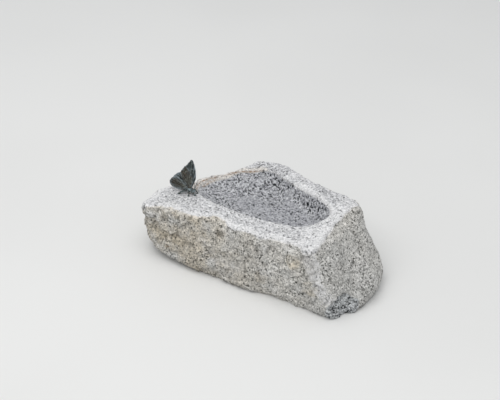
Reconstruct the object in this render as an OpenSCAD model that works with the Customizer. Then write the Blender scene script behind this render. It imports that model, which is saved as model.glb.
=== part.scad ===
// Granite water bowl for insects, with a bronze butterfly pinned to its rim.
// The bowl stands on its sawn underside, small end towards -X, back towards +Y.

/* [Stone block] */
// Overall length of the block, from the small end to the foot of the big end
stone_l = 344; // [320:1:380]
// Overall width of the block, front to back
stone_w = 200; // [184:1:220]
// Height of the rim at the small end
rim_h_small = 82; // [74:1:92]
// Height of the rim at the big end
rim_h_big = 107; // [98:1:116]
// How far the foot of the big end stands out beyond its rim
big_batter = 54; // [40:1:64]
// Height at which the sloping big end turns down to its foot
toe_h = 22; // [12:1:30]
// Height of the undercut below the small end
undercut_h = 15; // [6:1:20]
// Length of the undercut below the small end
undercut_l = 115; // [80:1:125]

/* [Basin] */
// Width of the rim at the small end, where the butterfly sits
small_rim = 50; // [46:1:60]
// Width of the rim at the big end
big_rim = 36; // [28:1:46]
// Distance from the front of the block to the basin
front_rim = 47; // [40:1:54]
// Distance from the back corner of the block to the basin
back_rim = 31; // [24:1:40]
// Thinnest rim, where the basin follows the back edge
thin_rim = 8; // [7.5:0.5:12]
// Depth of the basin below the rim at the big end
basin_depth = 40; // [32:1:46]

/* [Dressing of the stone] */
// Rounding of the basin's lip
lip_round = 3; // [2:0.5:3.5]
// Rounding of the block's upper ridge
ridge_round = 3.5; // [2:0.5:4]
// Height of the broad waves on the split faces
split_wave = 3; // [0:0.5:5]
// Height of the small lumps on the split faces
split_lump = 1.6; // [0:0.2:2.4]
// Depth of the pitched hollows in the rim
rim_lump = 1.6; // [0:0.2:2.4]
// Depth of the broken hollow at the foot of the front corner
chip_depth = 11; // [4:1:14]
// Radius of that broken hollow
chip_r = 30; // [20:1:36]

/* [Butterfly fixing] */
// Distance from the small end to the butterfly's stud
seat_inset = 47; // [42:1:52]
// Distance from the front of the block to the butterfly's stud
seat_from_front = 62; // [56:1:68]
// Turn of the butterfly towards the back of the bowl, in degrees
butterfly_turn = 8; // [0:1:14]
// Diameter of the threaded stud
stud_d = 3; // [2.5:0.1:3.2]
// Pitch of the stud's thread
stud_pitch = 0.5; // [0.4:0.1:0.8]
// Length of the stud in the stone
stud_in_stone = 30; // [20:1:40]
// Length of the stud in the butterfly's body
stud_in_body = 3; // [2.4:0.1:3.2]
// Diameter of the hole drilled for the stud
hole_d = 6; // [5:0.5:8]
// Depth of resin below the end of the stud
resin_floor = 3; // [2:0.5:6]

/* [Butterfly] */
// Height of the body's axis above the stone
body_h = 7; // [6.5:0.1:8]
// Radius of the thorax
thorax_r = 3.2; // [3:0.1:3.4]
// Length of the thorax
thorax_l = 12; // [11:0.5:13]
// Radius of the abdomen
abdomen_r = 1.8; // [1.4:0.1:1.9]
// Length of the abdomen
abdomen_l = 17; // [14:0.5:19]
// Radius of the head
head_r = 2.1; // [1.8:0.1:2.4]
// Radius of an eye
eye_r = 1; // [0.8:0.1:1.2]
// Height of a forewing above its root
forewing_h = 45; // [38:1:50]
// Length of a hindwing behind its root
hindwing_l = 32; // [27:1:36]
// Thickness of a wing
wing_t = 1; // [0.8:0.1:1.1]
// Lean of each wing away from upright, in degrees
wing_lean = 11; // [8:0.5:14]
// Height of the veins above the wing
vein_h = 0.35; // [0.2:0.05:0.5]
// Width of a vein at the wing's root
vein_w = 1.1; // [0.8:0.1:1.4]
// Half the gap between the two wing slots in the thorax
wing_septum = 0.35; // [0.3:0.05:0.5]
// Depth of the wing roots in the thorax
wing_tab = 1; // [0.7:0.1:1.2]
// Thickness of a leg
leg_d = 1.4; // [1.1:0.1:1.6]
// Radius of a foot pad
foot_r = 1.3; // [1.1:0.1:1.6]
// Thickness of a foot pad
foot_t = 0.7; // [0.5:0.1:0.9]
// Thickness of an antenna
antenna_d = 0.9; // [0.7:0.1:1.1]
// Length of an antenna
antenna_l = 13; // [10:0.5:16]
// Clearance left for solder, glue and threads
joint_gap = 0.05; // [0.03:0.01:0.1]

/* [Hidden] */
$fn = 32;

// Places on the block, measured from its small end and from its front
small_x = -stone_l / 2;
front_y = -stone_w / 2;
rim_l = stone_l - big_batter;
basin_x = small_x + small_rim;
basin_y = front_y + front_rim;
basin_l = rim_l - small_rim - big_rim;
basin_w = stone_w - front_rim - back_rim;
centre = [basin_x + basin_l / 2, basin_y + basin_w / 2];
seat = [small_x + seat_inset, front_y + seat_from_front];
seat_flat = 27;
seat_blend = 14;

// Outlines as shares of the length and width of the box that each one fills
rim_form = [[0.035, 0.0], [0.0, 0.12], [0.008, 0.33], [0.12, 0.475], [0.205, 0.64], [0.265, 0.9],
            [0.39, 1.0], [0.53, 0.92], [0.66, 0.835], [0.86, 0.83], [0.955, 0.775], [0.945, 0.55],
            [0.985, 0.3], [1.0, 0.15], [0.955, 0.1], [0.8, 0.125], [0.7, 0.095], [0.6, 0.12],
            [0.44, 0.085], [0.25, 0.07], [0.12, 0.09]];
foot_form = [[0.02, 0.09], [0.07, 0.04], [0.26, 0.03], [0.42, 0.07], [0.51, 0.05], [0.66, 0.105],
             [0.8, 0.12], [0.92, 0.12], [0.96, 0.26], [1.0, 0.44], [0.985, 0.6], [0.97, 0.74],
             [0.8, 0.86], [0.54, 0.9], [0.35, 0.97], [0.21, 0.9], [0.13, 0.68], [0.03, 0.42], [0.0, 0.2]];
basin_form = [[0.015, 0.27], [0.08, 0.12], [0.2, 0.045], [0.5, 0.0], [0.75, 0.01], [0.9, 0.095],
              [0.975, 0.28], [1.0, 0.57], [0.965, 0.69], [0.86, 0.79], [0.72, 0.86], [0.42, 0.97],
              [0.27, 1.0], [0.16, 0.9], [0.05, 0.68], [0.0, 0.4]];

// The battered faces bow outwards: below 1 is convex
batter_bow = 0.75;

// How finely the block is divided: spokes round the basin and rings along each spoke
spokes = 112;
spoke_turn = 360 / spokes;
corner_soft = 3.5;

function mix(a, b, t) = a + (b - a) * t;
function clamp01(t) = min(1, max(0, t));
function ease(t) = let (c = clamp01(t)) c * c * (3 - 2 * c);
function placed(form, corner, size) = [for (p = form) [corner.x + p.x * size.x, corner.y + p.y * size.y]];

// Distance from the basin's centre to an outline, in one direction
function reach(outline, angle) =
    let (d = [cos(angle), sin(angle)], n = len(outline))
    max([for (i = [0:n - 1])
        let (p = outline[i] - centre, e = outline[(i + 1) % n] - outline[i],
             cross_de = d.x * e.y - d.y * e.x,
             t = (p.x * e.y - p.y * e.x) / cross_de,
             s = (p.x * d.y - p.y * d.x) / cross_de)
        if (abs(cross_de) > 1e-9 && s >= 0 && s <= 1 && t > 0) t]);
function soft_reach(outline, angle) =
    (reach(outline, angle - corner_soft) + 2 * reach(outline, angle)
     + reach(outline, angle + corner_soft)) / 4;

function heading(a) = [cos(a), sin(a)];
function low(points) = [min([for (p = points) p.x]), min([for (p = points) p.y])];
function high(points) = [max([for (p = points) p.x]), max([for (p = points) p.y])];

// One point per spoke on a softened outline, stretched to fill its box exactly
function filled(form, corner, size) =
    let (outline = placed(form, corner, size),
         soft = [for (a = angles) centre + soft_reach(outline, a) * heading(a)],
         lo = low(soft), span = high(soft) - lo)
    [for (p = soft) [corner.x + (p.x - lo.x) * size.x / span.x, corner.y + (p.y - lo.y) * size.y / span.y]];

angles = [for (i = [0:spokes - 1]) i * spoke_turn];
rim_line = filled(rim_form, [small_x, front_y], [rim_l, stone_w]);
foot_line = filled(foot_form, [small_x, front_y], [stone_l, stone_w]);
basin_free = filled(basin_form, [basin_x, basin_y], [basin_l, basin_w]);
basin_line = [for (p = basin_free)
    let (v = p - centre, a = atan2(v.y, v.x))
    centre + min(norm(v), reach(rim_line, a) - thin_rim) * heading(a)];

// Smooth repeatable lumps: one random height at each corner of a grid, blended between
function lattice(i, j, k) = let (v = sin(i * 743.1 + j * 1187.7 + k * 2113.3) * 4375.85)
    2 * (v - floor(v)) - 1;
function lumps(p, step) =
    let (q = p / step, i = floor(q.x), j = floor(q.y), k = floor(q.z),
         u = ease(q.x - i), v = ease(q.y - j), w = ease(q.z - k))
    mix(mix(mix(lattice(i, j, k), lattice(i + 1, j, k), u),
            mix(lattice(i, j + 1, k), lattice(i + 1, j + 1, k), u), v),
        mix(mix(lattice(i, j, k + 1), lattice(i + 1, j, k + 1), u),
            mix(lattice(i, j + 1, k + 1), lattice(i + 1, j + 1, k + 1), u), v), w);

// Heights: the rim is one sloping plane, the underside is flat and rises under the small end
rim_slope = (rim_h_big - rim_h_small) / rim_l;
function rim_z(x) = rim_h_small + (x - small_x) * rim_slope;
function foot_z(x) = max(0, undercut_h * (small_x + undercut_l - x) / undercut_l);
floor_z = rim_h_big - basin_depth;
seat_z = rim_z(seat.x);

// How steeply the basin's wall rises: gently at the small end, steeply elsewhere
function wall_power(angle) = mix(6, 2.4, ease((-cos(angle) - 0.2) / 0.8));

// The broken hollow at the foot of the front corner of the big end
chip_at = [small_x + 0.945 * stone_l, front_y + 0.2 * stone_w, toe_h * 0.6];
function chip(p) = let (t = norm(p - chip_at) / chip_r) t < 1 ? chip_depth * (1 - t * t) : 0;

// A point of the block's skin above plan point q, with its share of sideways and upward lumps
function skin(q, z, side, up) =
    let (v = q - centre, d = [v.x, v.y, 0] / norm(v),
         p = [q.x, q.y, z],
         calm = ease((norm(q - seat) - seat_flat) / seat_blend),
         out = side * (split_wave * lumps(p, 47) + split_lump * lumps(p, 17) - chip(p)),
         lift = up * calm * rim_lump * (lumps(p, 31) + 0.6 * lumps(p, 13)))
    p + out * d + [0, 0, lift];

// A plan point moved along its spoke by a distance, or to a share of its distance from the centre
function moved(q, by) = q + by * (q - centre) / norm(q - centre);
function drawn_in(q, t) = centre + t * (q - centre);

function basin_ring(t) = [for (q = basin_line)
    let (v = q - centre, rise = pow(t, wall_power(atan2(v.y, v.x))))
    skin(drawn_in(q, t), mix(floor_z, rim_z(q.x) - lip_round, rise), 0, 0.25 * (1 - t))];
function rim_ring(t) = [for (i = [0:spokes - 1])
    let (q = mix(moved(basin_line[i], lip_round), moved(rim_line[i], -ridge_round), t))
    skin(q, rim_z(q.x), 0, ease(6 * t) * mix(1, 0.6, t))];
function ridge_ring() = [for (q = rim_line) skin(q, rim_z(q.x) - ridge_round, 0.5, 0.5)];
function side_ring(t) = [for (i = [0:spokes - 1])
    let (top = rim_z(rim_line[i].x) - ridge_round, low = foot_z(foot_line[i].x),
         z = mix(top, low, t), turn = pow(clamp01((top - z) / (top - low - toe_h)), batter_bow))
    skin(mix(rim_line[i], foot_line[i], turn), z, 1, 0)];
function under_ring(t, inset) = [for (q = foot_line)
    let (p = drawn_in(moved(q, -inset), t)) skin(p, foot_z(p.x), 0, 0)];

basin_steps = [0.2, 0.4, 0.58, 0.72, 0.83, 0.91, 0.965, 1];
rim_steps = [0, 0.2, 0.4, 0.6, 0.8, 1];
side_steps = [0.09, 0.2, 0.32, 0.44, 0.56, 0.68, 0.8, 0.93];
under_inset = 5;
under_steps = [1, 0.7, 0.35];

// The whole skin as rings from the basin's floor, over the rim and down to the underside
module block() {
    rings = concat([for (t = basin_steps) basin_ring(t)], [for (t = rim_steps) rim_ring(t)],
                   [ridge_ring()], [for (t = side_steps) side_ring(t)],
                   [for (t = under_steps) under_ring(t, under_inset)]);
    floor_pole = [centre.x, centre.y, floor_z];
    under_pole = [centre.x, centre.y, foot_z(centre.x)];
    points = concat([floor_pole, under_pole], [for (ring = rings) each ring]);
    last = 2 + (len(rings) - 1) * spokes;
    faces = concat(
        [for (i = [0:spokes - 1]) [0, 2 + (i + 1) % spokes, 2 + i]],
        [for (k = [0:len(rings) - 2], i = [0:spokes - 1])
            let (a = 2 + k * spokes + i, b = 2 + k * spokes + (i + 1) % spokes) each
            [[a, b + spokes, a + spokes], [a, b, b + spokes]]],
        [for (i = [0:spokes - 1]) [1, last + i, last + (i + 1) % spokes]]);
    polyhedron(points, faces, convexity = 6);
}

// Fixing: depths below the seat and heights above it
hole_depth = stud_in_stone + resin_floor;
stud_top = body_h - thorax_r + stud_in_body;
hole_over = 4;

module at_seat() translate([seat.x, seat.y, seat_z]) children();
module at_butterfly() at_seat() rotate([0, 0, butterfly_turn]) children();

module stone_bowl() {
    color([0.66, 0.65, 0.62])
    difference() {
        block();
        at_seat() translate([0, 0, -hole_depth]) cylinder(d = hole_d, h = hole_depth + hole_over);
    }
}

module resin_anchor() {
    resin_top = 0.3;
    color([0.35, 0.34, 0.32])
    at_seat()
    difference() {
        translate([0, 0, -hole_depth]) cylinder(d = hole_d, h = hole_depth - resin_top);
        translate([0, 0, -stud_in_stone]) cylinder(d = stud_d, h = stud_in_stone + hole_over);
    }
}

module mounting_stud() {
    turns = floor((stud_in_stone + stud_top) / stud_pitch) - 1;
    crest = stud_d / 2;
    root = crest - 0.6 * stud_pitch;
    profile = concat([[0, -stud_in_stone], [root, -stud_in_stone]],
        [for (i = [0:turns - 1]) let (z = -stud_in_stone + (i + 0.3) * stud_pitch) each
            [[root, z], [crest, z + 0.4 * stud_pitch], [crest, z + 0.5 * stud_pitch]]],
        [[root, stud_top - 0.3 * stud_pitch], [root, stud_top], [0, stud_top]]);
    color([0.72, 0.72, 0.7])
    at_seat() rotate_extrude() polygon(profile);
}

// A round bar from one point to another
module bar(from, to, d) {
    v = to - from;
    translate(from)
    rotate([0, acos(v.z / norm(v)), atan2(v.y, v.x)])
    cylinder(d = d, h = norm(v));
}

// A spindle along +X: half-lengths to the widest place and the end radii come from an ellipse
module spindle(length, r, cut_front = 0.94) {
    steps = 14;
    rotate([0, 90, 0])
    rotate_extrude()
    polygon(concat([[0, 0]],
        [for (i = [0:steps]) let (t = mix(0.03, cut_front, i / steps))
            [2 * r * sqrt(t * (1 - t)), t * length]],
        [[0, cut_front * length]]));
}

// Legs as [root, knee, foot] on the left side; the right side is their mirror image
hip_y = 2.2;
hip_z = body_h - 1.1;
legs_left = [
    [[3.4, hip_y - 0.3, hip_z], [7.2, 4.6, body_h + 1], [11.4, 3.9]],
    [[0.3, hip_y, hip_z], [1.4, 6, body_h + 1.5], [2.7, 8]],
    [[-3.1, hip_y - 0.4, hip_z], [-8, 5.6, body_h + 1], [-14, 8.3]]];
function mirrored(p) = len(p) == 3 ? [p.x, -p.y, p.z] : [p.x, -p.y];
function leg(which, side) = let (l = legs_left[which]) side > 0 ? l : [for (p = l) mirrored(p)];

// Height of the stone under a point of the butterfly's own frame, above the seat
function ground(p) = rim_slope * (p.x * cos(butterfly_turn) - p.y * sin(butterfly_turn));
slope_angle = atan(rim_slope);

module foot_tilt() rotate([0, 0, -butterfly_turn]) rotate([0, -slope_angle, 0]) children();

module leg_piece(which, side) {
    l = leg(which, side);
    knuckle = 1.16;
    pad = [l[2].x, l[2].y, ground(l[2]) + joint_gap];
    ankle = pad + [0, 0, foot_t + leg_d / 3];
    color([0.23, 0.27, 0.25])
    at_butterfly() {
        bar(l[0], l[1], leg_d);
        bar(l[1], ankle, leg_d * 0.86);
        translate(l[1]) sphere(d = leg_d * knuckle);
        translate(ankle) sphere(d = leg_d * knuckle);
        translate(pad) foot_tilt() cylinder(r1 = foot_r, r2 = foot_r * 0.7, h = foot_t + leg_d / 3);
    }
}

head_dip = 14;
head_reach = thorax_l / 2 + head_r * 0.6;
head_at = [head_reach * cos(head_dip), 0, body_h - head_reach * sin(head_dip)];
antenna_roots = head_at + [head_r * 0.35, 0.75, head_r * 0.55];
antenna_aim = [0.24, 0.16, 1];
function antenna_point(side, s) =
    let (d = antenna_aim / norm(antenna_aim), p = antenna_roots + s * d) side > 0 ? p : mirrored(p);
module antenna_piece(side) {
    club_l = 2.6;
    color([0.23, 0.27, 0.25])
    at_butterfly() {
        bar(antenna_point(side, 0), antenna_point(side, antenna_l), antenna_d);
        bar(antenna_point(side, antenna_l - club_l), antenna_point(side, antenna_l + 0.4), antenna_d * 1.7);
    }
}

// Wings are flat castings drawn in [forward, up] from the root, then stood up and leaned out
forewing_form = [[2.6, 0], [5.4, 7], [7.8, 13], [8.8, 18.5], [8.2, 25], [6.6, 32], [4, 39], [1.6, 43.4],
                 [-0.6, 45], [-2.6, 43], [-3.6, 40], [-5.8, 38.6], [-6.6, 35.6], [-8.8, 34], [-9.4, 31],
                 [-11.2, 29], [-11.2, 25],
                 [-9.6, 20], [-7, 13], [-4.4, 6], [-2.4, 0]];
hindwing_form = [[0.6, 0], [-3, 6.6], [-7.4, 12.4], [-12, 17], [-16, 19.6], [-18.6, 20.4], [-20.6, 18.8],
                 [-23.4, 17.6],
                 [-25, 15], [-27.8, 13], [-29, 10], [-31.4, 7.6], [-31.4, 4.6], [-32, 2], [-31, 0]];
forewing_veins = [[8.2, 24], [5.4, 36], [-0.2, 43.4], [-5.2, 37.8], [-8.2, 33.2], [-10.6, 28.4]];
hindwing_veins = [[-15, 18.2], [-20, 18], [-24.6, 14.4], [-28.6, 9.4], [-30.8, 4]];
fold_form = [[-31, 0.3], [-5.8, 0.3], [-7.2, -2.6], [-11, -4.8], [-16.6, -5.6], [-23, -5.2], [-27.4, -4],
             [-30, -1.8]];
forewing_share = forewing_h / 45;
hindwing_share = hindwing_l / 32;
wing_root_h = body_h + thorax_r - 1.6;
inner_wing = wing_septum;
outer_wing = wing_septum + wing_t + joint_gap;

function grown(form, k) = [for (p = form) [p.x * k, p.y * k]];

// Stands a drawing up as a plate of thickness t whose inner face is at y from the mid-plane
module plate(y, t) translate([0, y + t, 0]) rotate([90, 0, 0]) linear_extrude(t) children();
module leaned(side) {
    mirror([0, side > 0 ? 0 : 1, 0])
    translate([0, 0, wing_root_h])
    rotate([-wing_lean, 0, 0])
    children();
}
module vein(tip, from) {
    d = tip - from;
    n = [-d.y, d.x] / norm(d);
    polygon([from + n * vein_w / 2, from - n * vein_w / 2, tip - n * vein_w / 5, tip + n * vein_w / 5]);
}

module forewing_piece(side) {
    outline = grown(forewing_form, forewing_share);
    color([0.25, 0.27, 0.24])
    at_butterfly() leaned(side) {
        plate(inner_wing, wing_t) polygon(concat([[2.6, -wing_tab]], outline, [[-2.4, -wing_tab]]));
        for (tip = grown(forewing_veins, forewing_share))
            plate(inner_wing - vein_h * 0.7, wing_t + vein_h * 0.7)
            intersection() {
                vein(tip, [1.2, 4]);
                polygon(outline);
            }
    }
}

module hindwing_piece(side) {
    outline = grown(hindwing_form, hindwing_share);
    root_back = -3.6;
    color([0.25, 0.27, 0.24])
    at_butterfly() {
        leaned(side) {
            plate(outer_wing, wing_t)
                polygon(concat([[0.6, -wing_tab]], outline, [[root_back, 0], [root_back, -wing_tab]]));
            for (tip = grown(hindwing_veins, hindwing_share))
                plate(outer_wing, wing_t + vein_h)
                intersection() {
                    vein(tip, [-4.4, 3]);
                    polygon(outline);
                }
        }
        mirror([0, side > 0 ? 0 : 1, 0])
        translate([0, outer_wing * (1 - cos(wing_lean)), wing_root_h])
        rotate([wing_lean, 0, 0])
        plate(outer_wing, wing_t) polygon(grown(fold_form, hindwing_share));
    }
}

module butterfly_body() {
    slot_l = 6.4;
    slot_w = 2 * wing_t + 3 * joint_gap;
    abdomen_droop = 6;
    color([0.22, 0.25, 0.23])
    at_butterfly()
    difference() {
        union() {
            translate([0, 0, body_h])
            rotate([0, head_dip, 0]) {
                translate([-thorax_l / 2, 0, 0]) spindle(thorax_l, thorax_r);
                translate([head_reach, 0, 0]) sphere(r = head_r);
                for (side = [-1, 1])
                    translate([head_reach + head_r * 0.3, side * head_r * 0.66, 0.5]) sphere(r = eye_r);
            }
            translate([-thorax_l / 2 + 2.5, 0, body_h - 0.4])
            rotate([0, 180 - abdomen_droop, 0]) spindle(abdomen_l, abdomen_r, 0.97);
        }
        for (side = [-1, 1]) {
            leaned(side)
            translate([-3.6 - joint_gap, wing_septum - joint_gap, -wing_tab - joint_gap])
            cube([slot_l, slot_w, wing_tab + thorax_r]);
            for (which = [0:2]) {
                l = leg(which, side);
                aim = (l[1] - l[0]) / norm(l[1] - l[0]);
                bar(l[0] - aim * joint_gap, l[0] + aim * thorax_r, leg_d + 2 * joint_gap);
            }
            bar(antenna_point(side, -joint_gap), antenna_point(side, head_r * 1.2),
                antenna_d + 2 * joint_gap);
        }
        cylinder(d = stud_d + 2 * joint_gap, h = stud_top + joint_gap);
    }
}

stone_bowl();
resin_anchor();
mounting_stud();
butterfly_body();
forewing_piece(1);  // left_forewing
forewing_piece(-1);  // right_forewing
hindwing_piece(1);  // left_hindwing
hindwing_piece(-1);  // right_hindwing
leg_piece(0, 1);  // left_front_leg
leg_piece(0, -1);  // right_front_leg
leg_piece(1, 1);  // left_middle_leg
leg_piece(1, -1);  // right_middle_leg
leg_piece(2, 1);  // left_hind_leg
leg_piece(2, -1);  // right_hind_leg
antenna_piece(1);  // left_antenna
antenna_piece(-1);  // right_antenna
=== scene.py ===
"""Insect water bowl: a rough granite block with a carved basin and a bronze butterfly on its rim.

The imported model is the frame. Each class below builds one part of the object over its solids and
dresses it with a procedural finish. Sizes are metres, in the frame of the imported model.
"""
import logging
import math
from dataclasses import dataclass, field
from enum import Enum
from functools import cached_property
from typing import Callable, Sequence

import bmesh
import bpy
import numpy as np
from mathutils import Matrix, Vector


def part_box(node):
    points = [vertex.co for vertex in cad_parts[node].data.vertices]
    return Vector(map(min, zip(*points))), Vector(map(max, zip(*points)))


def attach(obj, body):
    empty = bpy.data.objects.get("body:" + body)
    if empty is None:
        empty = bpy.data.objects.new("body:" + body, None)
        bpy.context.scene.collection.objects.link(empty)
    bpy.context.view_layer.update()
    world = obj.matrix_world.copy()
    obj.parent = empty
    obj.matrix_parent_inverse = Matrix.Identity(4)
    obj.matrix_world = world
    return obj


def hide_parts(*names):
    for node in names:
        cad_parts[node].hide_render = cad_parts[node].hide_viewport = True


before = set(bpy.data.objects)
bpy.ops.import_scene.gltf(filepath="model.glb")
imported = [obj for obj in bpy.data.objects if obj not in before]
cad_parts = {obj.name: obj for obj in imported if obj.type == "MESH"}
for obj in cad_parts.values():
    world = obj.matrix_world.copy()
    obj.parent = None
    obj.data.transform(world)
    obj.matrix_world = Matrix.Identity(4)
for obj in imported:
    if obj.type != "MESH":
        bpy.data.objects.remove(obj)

LOG = logging.getLogger("water_bowl")
MM = 0.001
Colour = tuple[float, float, float]
Point = tuple[float, float, float]
Flat = tuple[float, float]
BODY = "root"


class Side(Enum):
    """The butterfly's two sides, as the sign of the sideways direction."""

    LEFT = 1
    RIGHT = -1

    @property
    def word(self) -> str:
        """The side's name in lower case."""
        return self.name.lower()


class LegPlace(Enum):
    """The three pairs of legs."""

    FRONT = "front"
    MIDDLE = "middle"
    HIND = "hind"


class WingKind(Enum):
    """The two wings of each side."""

    FORE = "forewing"
    HIND = "hindwing"


# Mesh tools

def deselect_all() -> None:
    """Leaves nothing selected, so that an operator acts only on what is chosen next."""
    if bpy.context.object and bpy.context.object.mode != "OBJECT":
        bpy.ops.object.mode_set(mode="OBJECT")
    bpy.ops.object.select_all(action="DESELECT")


def choose(obj: bpy.types.Object) -> bpy.types.Object:
    """Selects one object and makes it the active one.

    Args:
        obj: the object to work on.

    Returns:
        The same object.
    """
    deselect_all()
    obj.select_set(True)
    bpy.context.view_layer.objects.active = obj
    return obj


def read_rows(obj: bpy.types.Object, what: str) -> np.ndarray:
    """Reads one kind of triple from a mesh's points, as an array of rows."""
    flat = np.empty(len(obj.data.vertices) * 3)
    obj.data.vertices.foreach_get(what, flat)
    return flat.reshape(-1, 3)


def read_points(obj: bpy.types.Object) -> np.ndarray:
    """Reads a mesh's points."""
    return read_rows(obj, "co")


def read_normals(obj: bpy.types.Object) -> np.ndarray:
    """Reads the normals at a mesh's points."""
    return read_rows(obj, "normal")


def write_points(obj: bpy.types.Object, points: np.ndarray) -> None:
    """Writes an array of rows back as a mesh's points."""
    obj.data.vertices.foreach_set("co", points.ravel())
    obj.data.update()


def keep_values(obj: bpy.types.Object, **values: object) -> None:
    """Keeps numbers on the mesh, for a material to read.

    Args:
        obj: the piece.
        values: each attribute's name with one number per point, or one for all of them.
    """
    count = len(obj.data.vertices)
    for name, numbers in values.items():
        attribute = obj.data.attributes.new(name, "FLOAT", "POINT")
        attribute.data.foreach_set("value", np.full(count, numbers, np.float32))


def remesh_even(obj: bpy.types.Object, size: float) -> None:
    """Gives a closed mesh small even faces.

    Args:
        obj: the piece.
        size: the length of a face's side.
    """
    choose(obj)
    even = obj.modifiers.new("even_faces", "REMESH")
    even.mode = "VOXEL"
    even.voxel_size = size
    even.use_smooth_shade = True
    bpy.ops.object.modifier_apply(modifier=even.name)


def relaxed(points: np.ndarray, edges: np.ndarray, rounds: int) -> np.ndarray:
    """Averages each point with its neighbours, several times over.

    Args:
        points: the mesh's points, or one number per point.
        edges: pairs of point numbers.
        rounds: how often to average.

    Returns:
        The relaxed points.
    """
    count = len(points)
    rows = points.reshape(count, -1).copy()
    a, b = edges[:, 0], edges[:, 1]
    near = np.maximum(np.bincount(a, minlength=count) + np.bincount(b, minlength=count), 1)
    for _ in range(rounds):
        for column in range(rows.shape[1]):
            values = rows[:, column]
            total = np.bincount(a, values[b], count) + np.bincount(b, values[a], count)
            rows[:, column] = 0.5 * values + 0.5 * total / near
    return rows.reshape(points.shape)


def edge_pairs(obj: bpy.types.Object) -> np.ndarray:
    """Reads a mesh's edges as pairs of point numbers."""
    flat = np.empty(len(obj.data.edges) * 2, np.int32)
    obj.data.edges.foreach_get("vertices", flat)
    return flat.reshape(-1, 2)


def ramp(values: np.ndarray, low: float, high: float) -> np.ndarray:
    """Rises smoothly from 0 at low to 1 at high."""
    t = np.clip((values - low) / (high - low), 0, 1)
    return t * t * (3 - 2 * t)


def distance_to_line(points: np.ndarray, line: np.ndarray) -> np.ndarray:
    """Finds how far each point is from a line of straight stretches.

    Args:
        points: rows of coordinates.
        line: rows of the line's corners, with as many columns.

    Returns:
        One distance per point.
    """
    nearest = np.full(len(points), np.inf)
    for start, end in zip(line[:-1], line[1:]):
        along = end - start
        share = np.clip((points - start) @ along / (along @ along), 0, 1)
        gap = np.linalg.norm(points - start - share[:, None] * along, axis=1)
        nearest = np.minimum(nearest, gap)
    return nearest


def drawn_through(name: str, rings: Sequence[Sequence[Sequence[float]]]) -> bpy.types.Object:
    """Extrudes a filled ring from place to place, which leaves a closed skin.

    Args:
        name: the new object's name.
        rings: the rings in order, each with as many points.

    Returns:
        The new mesh object.
    """
    deselect_all()
    bpy.ops.mesh.primitive_circle_add(vertices=len(rings[0]), radius=1.0, fill_type="NGON")
    made = bpy.context.object
    made.name = name
    for vertex, place in zip(made.data.vertices, rings[0]):
        vertex.co = place
    bpy.ops.object.mode_set(mode="EDIT")
    for ring in rings[1:]:
        bpy.ops.mesh.extrude_region_move(TRANSFORM_OT_translate={"value": (0, 0, 0)})
        mesh = bmesh.from_edit_mesh(made.data)
        chosen = [vertex for vertex in mesh.verts if vertex.select]
        for vertex, place in zip(chosen, ring):
            vertex.co = place
        bmesh.update_edit_mesh(made.data)
    bpy.ops.mesh.select_all(action="SELECT")
    bpy.ops.mesh.normals_make_consistent(inside=False)
    bpy.ops.object.mode_set(mode="OBJECT")
    return choose(made)


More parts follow.
